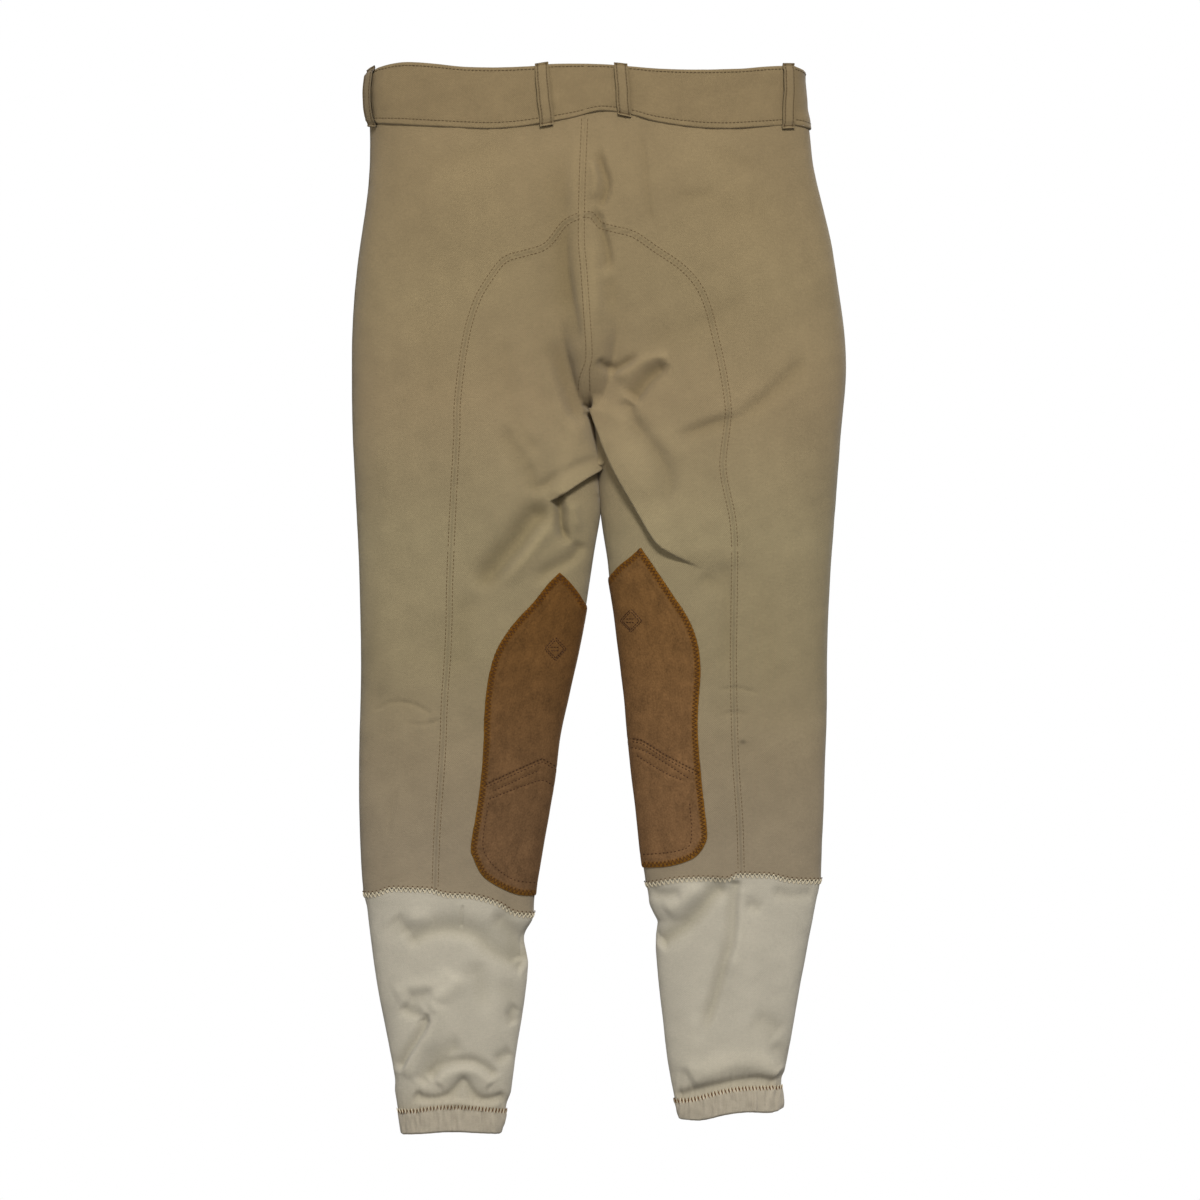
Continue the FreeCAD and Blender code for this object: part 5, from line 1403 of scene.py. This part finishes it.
def knee_patch(side):
    outline_ = PATCH[side]
    low, high = outline_[:, 1].min() - 2, outline_[:, 1].max() + 2
    rows, cols = int((high - low) / (1.15)), 250
    around = np.linspace(-PATCH_TURN, PATCH_TURN, cols)
    turn, z = np.meshgrid(np.where(around < 0, 1 + around, around),
                          np.linspace(high, low, rows))
    x = tube_point(side, turn, z)[..., 0]
    kept = inside(outline_, cell_mean(x), cell_mean(z))
    # vertices with some but not all of their cells kept are drawn onto the outline
    count = np.zeros((rows, cols), int)
    for i in (0, 1):
        for j in (0, 1):
            count[i:rows - 1 + i, j:cols - 1 + j] += kept
    d, foot_x, foot_z = foot(outline_, x, z)
    moved = (count > 0) & (count < 4) & (d < 4.0)
    x, z = np.where(moved, foot_x, x), np.where(moved, foot_z, z)
    on_front = np.repeat((around < 0)[None, :], rows, 0)
    for front in (False, True):
        m = moved & (on_front == front)
        if m.any():
            turn[m] = turn_at(side, x[m], z[m], front)
    points, n = cloth_point(side, turn, z, PATCH_LIFT)
    h, d = patch_rise(side, x, z)
    points = points + n * (h - 0.5 * np.exp(-(d / 0.8) ** 2))[..., None]
    flip = side != "left"
    coords = cloth_coords(arc_lengths(points, cols // 2), z, d)
    name = f"{side}_knee_patch"
    piece(name, "suede", "knee",
          shell(points, grid_normals(points, flip=flip),
                grid_quads(rows, cols, flip=flip)[kept], 1.2, coords, patch_tint(side, z),
                "suede"),
          nodes=[name + "_upper", name + "_lower"], side=side)
    keep = lambda p: (INNER[side](p[:, 1]) - p[:, 0]) * INWARD[side] > 1.5
    border = offset(np.vstack([outline_, outline_[:1]]), INWARD[side] * 3.1)
    for front in (False, True):
        place = on_patch(side, front)

        def row(line, length, gap, radius):
            add(name, topstitch(line, place, "thread_mark", length, gap, radius, keep))

        add(name, zigzag(border, place, half_width=2.2, pitch=3.5, radius=0.46,
                         mat="thread_rust", keep=keep))
        if not front:
            mx, mz = MARK[side]
            for r in (9.6, 7.4):
                row([(mx, mz + r * 1.1), (mx + r, mz), (mx, mz - r * 1.1), (mx - r, mz),
                     (mx, mz + r * 1.1)], 1.9, 0.5, 0.42)
            for dz in (-1.6, 1.6):
                row([(mx - 4.6, mz + dz), (mx + 4.6, mz + dz)], 1.9, 0.5, 0.42)
        for line, shifts in zip(CHEVRONS[side], ((-1.4, 1.4), (0.0,), (0.0,))):
            for shift in shifts:
                row(offset(line, shift), 1.8, 1.5, 0.44)
        row(smooth_line(PATCH_INNER_ROW[side], 3.0), 1.6, 1.8, 0.42)


for side in SIDES:
    knee_patch(side)

# ------------------------------------------------------------------ waistband
BAND_HEIGHT = 52.0
BAND_ROWS = (5.0, 49.0)  # heights of its two rows of stitches
BAND_FRONT_X = {"left": FRONT_X - 20.6, "right": FRONT_X + 25.6}


def band_point(side, turn, v, lift):
    """A point on the waistband; v runs from its lower edge, 0, to its top, 1."""
    turn, v = np.broadcast_arrays(np.asarray(turn, float), np.asarray(v, float))
    z = np.full(turn.shape, 930.0)
    back = turn <= 0.5
    for _ in range(3):
        k = np.where(back, 0.0, 1 - section(turn, z)[0])
        x = (tube_point(side, turn, z)[..., 0]
             + k * (BAND_FRONT_X[side] - inner_x(side, z, True)))
        low, high = band_low(x, back), band_top(x, back)
        z = low + v * (high - low)
    p = tube_point(side, turn, z)
    p[..., 0] = x
    n = tube_normal(side, turn, z)
    h = (0.55 * drift(x, z, 60.0, 41) + 0.3 * drift(x, z, 22.0, 42)
         - 0.3 * np.exp(-((v * BAND_HEIGHT - BAND_ROWS[0]) / 0.9) ** 2)
         - 0.15 * np.exp(-((v * BAND_HEIGHT - BAND_ROWS[1]) / 0.8) ** 2))
    return p + n * (lift + h)[..., None], n, x, z


def waistband():
    """One strip from the front gap round the back to the gap again, inside and out."""
    n_out = 30
    # (v, lift) round the section: out and up, over the top, down the inside
    rows = [(0.0, -1.2), (0.0, 0.4), (0.006, 1.5), (0.02, 2.0)]
    rows += [(v, 2.0) for v in np.linspace(0.04, 0.965, n_out)]
    rows += [(0.98, 1.75), (0.994, 1.1), (1.0, 0.2), (0.994, -0.8), (0.98, -1.4)]
    rows += [(v, -1.6) for v in np.linspace(0.95, 0.04, n_out // 2)]
    rows += [(0.012, -1.5), (0.0, -1.2)]
    v, lift = np.array(rows).T[:, :, None]
    halves = [band_point(s, np.repeat(turns[None, :], len(rows), 0), v, lift)
              for s, turns in (("left", TURNS[::-1]), ("right", TURNS[1:]))]
    points, out, x, z = (np.concatenate(pair, 1) for pair in zip(*halves))
    n_rows, n_cols = x.shape
    normals = grid_normals(points)
    if (normals[n_rows // 3] * out[n_rows // 3]).sum() < 0:
        normals = -normals
    normals[0] = normals[-1] = (normals[1] + normals[-2]) / 2
    run = np.linalg.norm(np.diff(points, axis=0), axis=-1)
    down = np.concatenate([np.zeros((1, n_cols)), np.cumsum(run, 0)], 0)
    shade = (1 + 0.03 * drift(x, z, 50, 43)
             - 0.05 * np.exp(-((v * BAND_HEIGHT - BAND_ROWS[0]) / 0.9) ** 2))
    tint = BAND_TINT * (shade * np.where(lift < -1.0, 0.82, 1.0))[..., None]
    verts, quads = flat(points), grid_quads(n_rows, n_cols).reshape(-1, 4)
    # wind the quads to face outwards
    probe = quads[(n_rows // 4) * (n_cols - 1) + n_cols // 3]
    a, b, c = verts[probe[:3]]
    if np.dot(np.cross(b - a, c - a), flat(out)[probe[0]]) < 0:
        quads = quads[:, ::-1]
    idx = np.arange(n_rows * n_cols).reshape(n_rows, n_cols)
    caps = []
    for col in (0, n_cols - 1):
        for i in range((n_rows - 1) // 2):
            cap = (idx[i, col], idx[i + 1, col], idx[n_rows - 2 - i, col],
                   idx[n_rows - 1 - i, col])
            caps.append(cap if col == 0 else cap[::-1])
    coords = cloth_coords(arc_lengths(points, n_cols // 2), down)
    piece("waistband", "waist_twill", "hips",
          part(verts, np.concatenate([quads, np.array(caps)]), flat(normals), flat(coords),
               flat(tint), "twill"),
          nodes=["waistband_outer", "waistband_interlining", "waistband_facing"])
    turn = np.linspace(0.001, 0.999, 2400)
    for height in BAND_ROWS:
        for s in SIDES:
            line, n, _, _ = band_point(s, turn, height / BAND_HEIGHT, 2.15)
            add("waistband", rail_stitches(line, n, start=1.0, pitch=3.4, length=2.6,
                                           radius=0.42, mat="thread_olive"))


waistband()

# ------------------------------------------------------------------ belt loops
LOOP_WIDTH = 12.2
LOOP_ROW = 0.33  # share of the width from the middle to each row of stitches


def belt_loop(name, side, front=False, x_ends=None, turn_ends=None, top=1.03, stand=2.2):
    """A strip up the waistband; its ends, top then bottom, are given by x or by turn."""
    cols, rows = 19, 34
    u, w = np.linspace(-0.5, 0.5, cols), np.linspace(0, 1, rows)
    v = -0.06 + (top + 0.06) * w
    upper, lower = x_ends or turn_ends
    turn = lower + (upper - lower) * w
    if x_ends:
        turn = turn_at(side, turn, 905 + v * BAND_HEIGHT, front)
    c, out, _, _ = band_point(side, turn, v, 0.0)
    e = band_point(side, turn + 0.002, v, 0.0)[0]
    d = unit(e - c)
    if d[:, 0].mean() < 0:
        d = -d
    up = unit(np.gradient(c, axis=0))
    n = np.cross(d, up)
    if (n * out).sum() < 0:
        n = -n
    lift = (3.4 + stand * np.clip(np.sin(np.pi * np.clip((w - 0.03) / 0.94, 0, 1)), 0, 1) ** 0.4
            - 1.5 * np.exp(-((w - 0.05) / 0.025) ** 2)
            - 1.5 * np.exp(-((w - 0.95) / 0.025) ** 2))
    crown = 0.35 * (1 - (2 * u) ** 2) - 0.3 * np.exp(-((np.abs(u) - LOOP_ROW) / 0.05) ** 2)
    points = (c[:, None] + d[:, None] * LOOP_WIDTH * u[None, :, None]
              + n[:, None] * (lift[:, None] + crown)[..., None])
    normals, quads = faced_sheet(points, n[rows // 2])
    # painted shade in the sunk rows of stitches and along the folded edges of the loop
    tint = WAIST_TINT * (1 - 0.30 * np.exp(-((np.abs(u) - LOOP_ROW) / 0.06) ** 2)
                         - 0.22 * np.exp(-((np.abs(u) - 0.5) / 0.05) ** 2))[:, None]
    coords = cloth_coords(u[None, :] * LOOP_WIDTH, w[:, None] * 60)
    piece(name, "waist_twill", "hips",
          shell(points, normals, quads, 1.5, coords, tint, "twill"))
    for k in (-LOOP_ROW, LOOP_ROW):
        line = c + d * LOOP_WIDTH * k + n * (lift + 0.12)[:, None]
        add(name, rail_stitches(line, n, start=2.0, pitch=3.1, length=2.3, radius=0.4,
                                mat="thread_olive"))
    # a bar of zigzag near each end
    k = np.linspace(-0.42, 0.42, 22)[:, None]
    sway = (np.arange(22) % 2)[:, None] * 1.5
    for share in (0.045, 0.955):
        i = int(share * (rows - 1) + 0.5)
        bar = c[i] + d[i] * LOOP_WIDTH * k + n[i] * (lift[i] + 0.2) + up[i] * sway
        add(name, stitches(bar[:-1], bar[1:], n[i], 0.36, "thread_olive"))


belt_loop("belt_loop_back_left", "left", x_ends=(-51.48, -46.53))
belt_loop("belt_loop_back_right", "right", x_ends=(19.35, 22.68))
belt_loop("belt_loop_side_right", "right", x_ends=(168.75, 169.2))
belt_loop("belt_loop_side_left", "left", turn_ends=(0.4435, 0.432), top=1.04, stand=3.4)
belt_loop("belt_loop_front_left", "left", front=True, x_ends=(-104.0, -104.0))
belt_loop("belt_loop_front_right", "right", front=True, x_ends=(86.0, 86.0))


# ------------------------------------------------------------------ fly and closure
def flat_panel(name, slot, xs, zs, y, thickness, tint, wobble, seed, rows, mat="twill",
               corner=0.0, thread_name="thread_tan", cols=26, nv=60, under=False):
    """A cloth facing +y with its outer face at y; under keeps it behind the front panels."""
    (x0, x1), (z0, z1) = xs, zs

    def face_y(x, z):
        out = y + wobble * drift(x, z, 18.0, seed)
        if under:
            for s in SIDES:
                m = (x - FRONT_X) * -INWARD[s] > 5.2
                if m.any():
                    points, _ = on_cloth(s, True, -2.6)(np.stack([x[m], z[m]], 1))
                    out[m] = np.minimum(out[m], points[:, 1])
        return out

    u, w = np.meshgrid(np.linspace(0, 1, cols), np.linspace(0, 1, nv))
    x, z = x0 + (x1 - x0) * u, z0 + (z1 - z0) * w
    if corner:  # rounds the lower corner at x1
        cut = np.maximum(0, corner - (z - z0)) / corner
        x = x - (np.where(u > 0.5, 1, 0) * (1 - np.sqrt(np.clip(1 - cut ** 2, 0, 1)))
                 * corner * (u - 0.5) * 2)
    edge = np.minimum(np.minimum(u, 1 - u) * (x1 - x0), np.minimum(w, 1 - w) * (z1 - z0))
    yy = face_y(x, z) - 0.35 * thickness * np.exp(-(edge / 0.5) ** 2)
    points = np.stack([x, yy, z], -1)
    normals, quads = faced_sheet(points)
    tint = tint * (1 + 0.04 * drift(x, z, 12, seed + 1))[..., None]
    piece(name, slot, "hips",
          shell(points, normals, quads, thickness, cloth_coords(x, z), tint, mat))
    for start, end in rows:
        add(name, front_stitches(start, end, 0.5, lambda a, b: face_y(a, b) + 0.12, 0.32,
                                 thread_name))


flat_panel("waistband_underlap", "waist_twill", (-24, 22), (905.5, 956.7), y=45.1,
           thickness=1.5, tint=WAIST_TINT * 0.9, wobble=0.12, seed=51,
           rows=[((-22, 908), (20, 908)), ((-22, 954), (20, 954)), ((20, 909), (20, 953))])
flat_panel("fly_shield", "facing_twill", (-29, 13), (754, 908), y=42.5, thickness=1.1,
           tint=WAIST_TINT * 0.8, wobble=0.12, seed=52, corner=12, nv=90, under=True,
           rows=[((10.4, 774), (10.4, 900)), ((-27, 757), (-10, 757))])
flat_panel("fly_facing", "facing_twill", (-39, -14.4), (762, 901), y=47.6, thickness=0.9,
           tint=WAIST_TINT * 0.8, wobble=0.08, seed=53, nv=90, under=True,
           rows=[((-36.5, 764), (-36.5, 899))])
flat_panel("care_label", "label", (-17, 1), (882, 900), y=-38.7, thickness=0.6,
           tint=LABEL_TINT, wobble=0.18, seed=54, nv=26, mat="satin",
           rows=[((-16, 899), (0, 899))], thread_name="thread_cream")
for name, xs in (("zip_tape_left", (-24.0, -12.5)), ("zip_tape_right", (-5.5, 6.0))):
    middle = sum(xs) / 2
    flat_panel(name, "zip_tape", xs, (764, 903), y=46.6, thickness=0.6, tint=ZIP_TAPE_TINT,
               wobble=0.05, seed=55, cols=14, nv=120, mat="tape",
               rows=[((middle, 766), (middle, 901))])


def waist_tab():
    """The front end of the waistband, with flat seats for the snap on both faces."""
    x0, x1, z0, z1 = -29.0, 16.0, 905.4, 956.8
    snap_x, snap_z, corner = -1.0, 931.1, 3.0
    u, w = np.meshgrid(np.linspace(0, 1, 44), np.linspace(0, 1, 50))
    x, z = x0 + (x1 - x0) * u, z0 + (z1 - z0) * w
    from_end = np.minimum(z - z0, z1 - z)
    m = (x1 - x < corner) & (from_end < corner)
    arc = np.sqrt(np.clip(corner * corner - (corner - from_end) ** 2, 0, None))
    k = np.where(m, arc, corner)
    start = x1 - corner
    x = np.where(x > start, start + (x - start) * k / corner, x)
    edge = np.maximum(np.minimum(x1 - x, from_end), 0)
    puff = 0.55 * (1 - np.exp(-edge / 1.6))
    groove = 0.4 * np.exp(-((edge - 4.8) / 0.8) ** 2)
    disc = np.hypot(x - snap_x, z - snap_z)
    front_y = np.minimum(49.4 + puff - groove + 0.1 * drift(x, z, 20, 61), 49.95)
    front_y = np.where(disc < 9.5, 49.85, front_y)
    back_y = np.where(disc < 5.6, 49.15, 46.9)
    front, back = np.stack([x, front_y, z], -1), np.stack([x, back_y, z], -1)
    normals, quads = faced_sheet(front)
    back_normals = np.zeros_like(normals)
    back_normals[..., 1] = -1
    verts = np.concatenate([flat(front), flat(back)])
    coords = flat(cloth_coords(x, z))
    piece("waist_tab_cloth", "waist_twill", "waist_tab",
          part(verts, close_sheet(quads.reshape(-1, 4), x.size),
               np.concatenate([flat(normals), flat(back_normals)]),
               np.concatenate([coords, coords]), np.broadcast_to(WAIST_TINT, verts.shape),
               "twill"),
          nodes=["waist_tab"])
    for a, b in (((-28, 910.2), (11.0, 910.2)), ((-28, 952.0), (11.0, 952.0)),
                 ((11.2, 911), (11.2, 951.5))):
        add("waist_tab_cloth", front_stitches(
            a, b, 0.4, lambda px, pz: np.full(len(px), 49.75), 0.3, "thread_tan"))


waist_tab()

# ------------------------------------------------------------------ front pockets
# upper and lower end of each mouth, (x, z)
MOUTH = {"left": ((-119, 893.5), (-162, 806.5)), "right": ((98, 893.5), (142.5, 806.5))}
# section of the welt: distance in from the mouth line, lift off the cloth
WELT_SECTION = [(-0.6, 0.25), (-0.3, 1.0), (0.8, 1.5), (2.5, 1.6), (4.5, 1.55), (6.5, 1.5),
                (8.5, 1.4), (9.8, 1.1), (10.2, 0.35)]
BAG_TOP_Z, BAG_BOTTOM_Z, BAG_DEPTH = 898.0, 700.0, 4.2


def pocket_welt(side):
    top, bottom = np.array(MOUTH[side], float)
    line = np.vstack([walk([top, bottom], 2.0), bottom])
    d = (bottom - top) / np.linalg.norm(bottom - top)
    inward = np.array([-d[1], d[0]])
    if inward[0] * INWARD[side] < 0:
        inward = -inward
    points = np.stack([on_cloth(side, True, lift)(line + inward * away)[0]
                       for away, lift in WELT_SECTION], 1)
    normals, quads = faced_sheet(points)
    coords = cloth_coords(np.array(WELT_SECTION)[None, :, 0],
                          (np.arange(len(line)) * 2.0)[:, None])
    name = f"{side}_pocket_welt_cloth"
    piece(name, "shell_twill", "hips",
          shell(points, normals, quads, 0.8, coords, WAIST_TINT * 1.02, "twill"),
          nodes=[f"{side}_pocket_welt"])
    for away in (1.8, 8.4):
        add(name, topstitch(line + inward * away, on_cloth(side, True, 1.75)))


def pocket_bag(side):
    """The bag hangs behind the front panel and is rounded at the bottom."""
    sign = INWARD[side]
    (top_x, _), (bottom_x, _) = MOUTH[side]
    cols, rows = 40, 60
    u, v = np.meshgrid(np.linspace(0, 1, cols), np.linspace(0, 1, rows))
    near_x, far_x = top_x + 26 * sign, bottom_x - 16 * sign
    z = BAG_TOP_Z + (BAG_BOTTOM_Z - BAG_TOP_Z) * v
    middle = (near_x + far_x) / 2 + (near_x - far_x) * 0.1 * (1 - v)
    taper = np.clip(1 - np.maximum(0, (v - 0.72) / 0.281) ** 2, 0.0004, 1)
    half = abs(far_x - near_x) / 2 * np.sqrt(taper)
    x = middle + (2 * u - 1) * half * -sign
    puff = 1.2 * np.sin(np.pi * u) * np.sin(np.pi * v) + 0.3 * drift(x, z, 30, 71)
    points, n = cloth_point(side, turn_at(side, x, z, True), z, seams=False)
    points = points - n * BAG_DEPTH - n * puff[..., None]
    normals, quads = faced_sheet(points)
    name = f"{side}_pocket_bag_cloth"
    piece(name, "pocketing", "hips",
          shell(points, normals, quads, 0.8, cloth_coords(x, z), 0.4, "lining"),
          nodes=[f"{side}_pocket_bag"])
    # stitched down one side, along the bottom and up the other
    line, line_n = (np.concatenate([a[:, 1], a[-2, 1:-1], a[::-1, -2]]) for a in (points, n))
    add(name, rail_stitches(line - line_n * 0.9, -line_n, start=1.0, pitch=3.4, length=2.3,
                            radius=0.32, mat="thread_cream", measured=line))


for side in SIDES:
    pocket_welt(side)
    pocket_bag(side)
# two curved rows beside the fly, on the wearer's left
for points in ([(-43, 903), (-43, 810), (-41, 785), (-30, 766), (-15, 758)],
               [(-38.5, 903), (-38.5, 812), (-36.5, 789), (-27, 771.5), (-15, 764)]):
    add("left_front_upper", topstitch(smooth_line(points, 3.0), on_cloth("left", True)))

# ------------------------------------------------------------------ make the pieces, in metres
for name, made in PIECES.items():
    ob = assemble(name, made["parts"])
    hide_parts(*made["nodes"])
    side = made["side"]
    if made["rig"] == "hip":
        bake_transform(ob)
    elif made["rig"] == "knee":
        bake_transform(ob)
    else:
        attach(ob, made["rig"])

FITTINGS = {
    "brass": ("zip_teeth_left", "zip_teeth_right", "zip_stops", "zip_slider", "zip_pull",
              "zip_pull_pin"),
    "steel": ("snap_cap", "snap_socket", "snap_stud")}
for mat, names in FITTINGS.items():
    for name in names:
        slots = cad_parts[name].data.materials
        slots.clear()
        slots.append(MATS[mat])


# ------------------------------------------------------------------ stage, light, camera
def camera_split(tree, output_kind, lit, seen):
    """Uses one shader for lighting and another for what the camera sees.

    Each is a node kind and its input values.
    """
    tree.nodes.clear()
    out = tree.nodes.new(output_kind)
    mix = tree.nodes.new("ShaderNodeMixShader")
    path = tree.nodes.new("ShaderNodeLightPath")
    tree.links.new(path.outputs["Is Camera Ray"], mix.inputs[0])
    for i, (kind, values) in enumerate((lit, seen), 1):
        node = tree.nodes.new(kind)
        for socket, value in zip(node.inputs, values):
            socket.default_value = value
        tree.links.new(node.outputs[0], mix.inputs[i])
    tree.links.new(mix.outputs[0], out.inputs[0])


WHITE = (1, 1, 1, 1)
scene = bpy.context.scene
floor_mesh = bpy.data.meshes.new("floor")
floor_mesh.from_pydata([(-14, -14, -0.002), (14, -14, -0.002), (14, 14, -0.002),
                        (-14, 14, -0.002)], [], [(0, 1, 2, 3)])
floor = bpy.data.objects.new("floor", floor_mesh)
scene.collection.objects.link(floor)
floor_mat = bpy.data.materials.new("floor_white")
floor_mat.use_nodes = True
camera_split(floor_mat.node_tree, "ShaderNodeOutputMaterial",
             lit=("ShaderNodeBsdfDiffuse", [(0.25, 0.25, 0.25, 1)]),
             seen=("ShaderNodeEmission", [WHITE, 1.0]))
floor_mesh.materials.append(floor_mat)

scene.world = bpy.data.worlds.new("studio")
scene.world.use_nodes = True
camera_split(scene.world.node_tree, "ShaderNodeOutputWorld",
             lit=("ShaderNodeBackground", [(0.97, 0.985, 1.0, 1), 0.30]),
             seen=("ShaderNodeBackground", [WHITE, 1.0]))


def area_light(name, location, target, size, watts):
    light = bpy.data.lights.new(name, "AREA")
    light.shape = "RECTANGLE"
    light.size, light.size_y = size
    light.energy = watts
    light.color = (1, 1, 1)
    ob = bpy.data.objects.new(name, light)
    ob.location = location
    aim = Vector(target) - Vector(location)
    ob.rotation_euler = aim.to_track_quat("-Z", "Y").to_euler()
    scene.collection.objects.link(ob)


area_light("key", (0.7, -4.0, 3.5), target=(0, 0, 0.35), size=(1.3, 0.9), watts=215)
area_light("fill", (-1.5, -2.6, 0.7), target=(0, 0, 0.4), size=(1.6, 1.6), watts=18)
area_light("back_key", (0.9, 2.2, 2.8), target=(0, 0, 0.5), size=(2.0, 1.2), watts=85)

CAMERA_DISTANCE, VIEW_WIDTH, SENSOR_MM = 5.0, 1.08, 36
lens = bpy.data.cameras.new("camera")
lens.sensor_width = SENSOR_MM
lens.lens = SENSOR_MM * CAMERA_DISTANCE / VIEW_WIDTH
lens.clip_end = 60
camera = bpy.data.objects.new("camera", lens)
camera.location = (0.0009, -CAMERA_DISTANCE, 0.4815)
camera.rotation_euler = (math.pi / 2, 0, 0)
scene.collection.objects.link(camera)
scene.camera = camera
scene.view_settings.view_transform = "Standard"
scene.view_settings.look = "None"
scene.view_settings.exposure = 0.0
scene.view_settings.gamma = 1.0
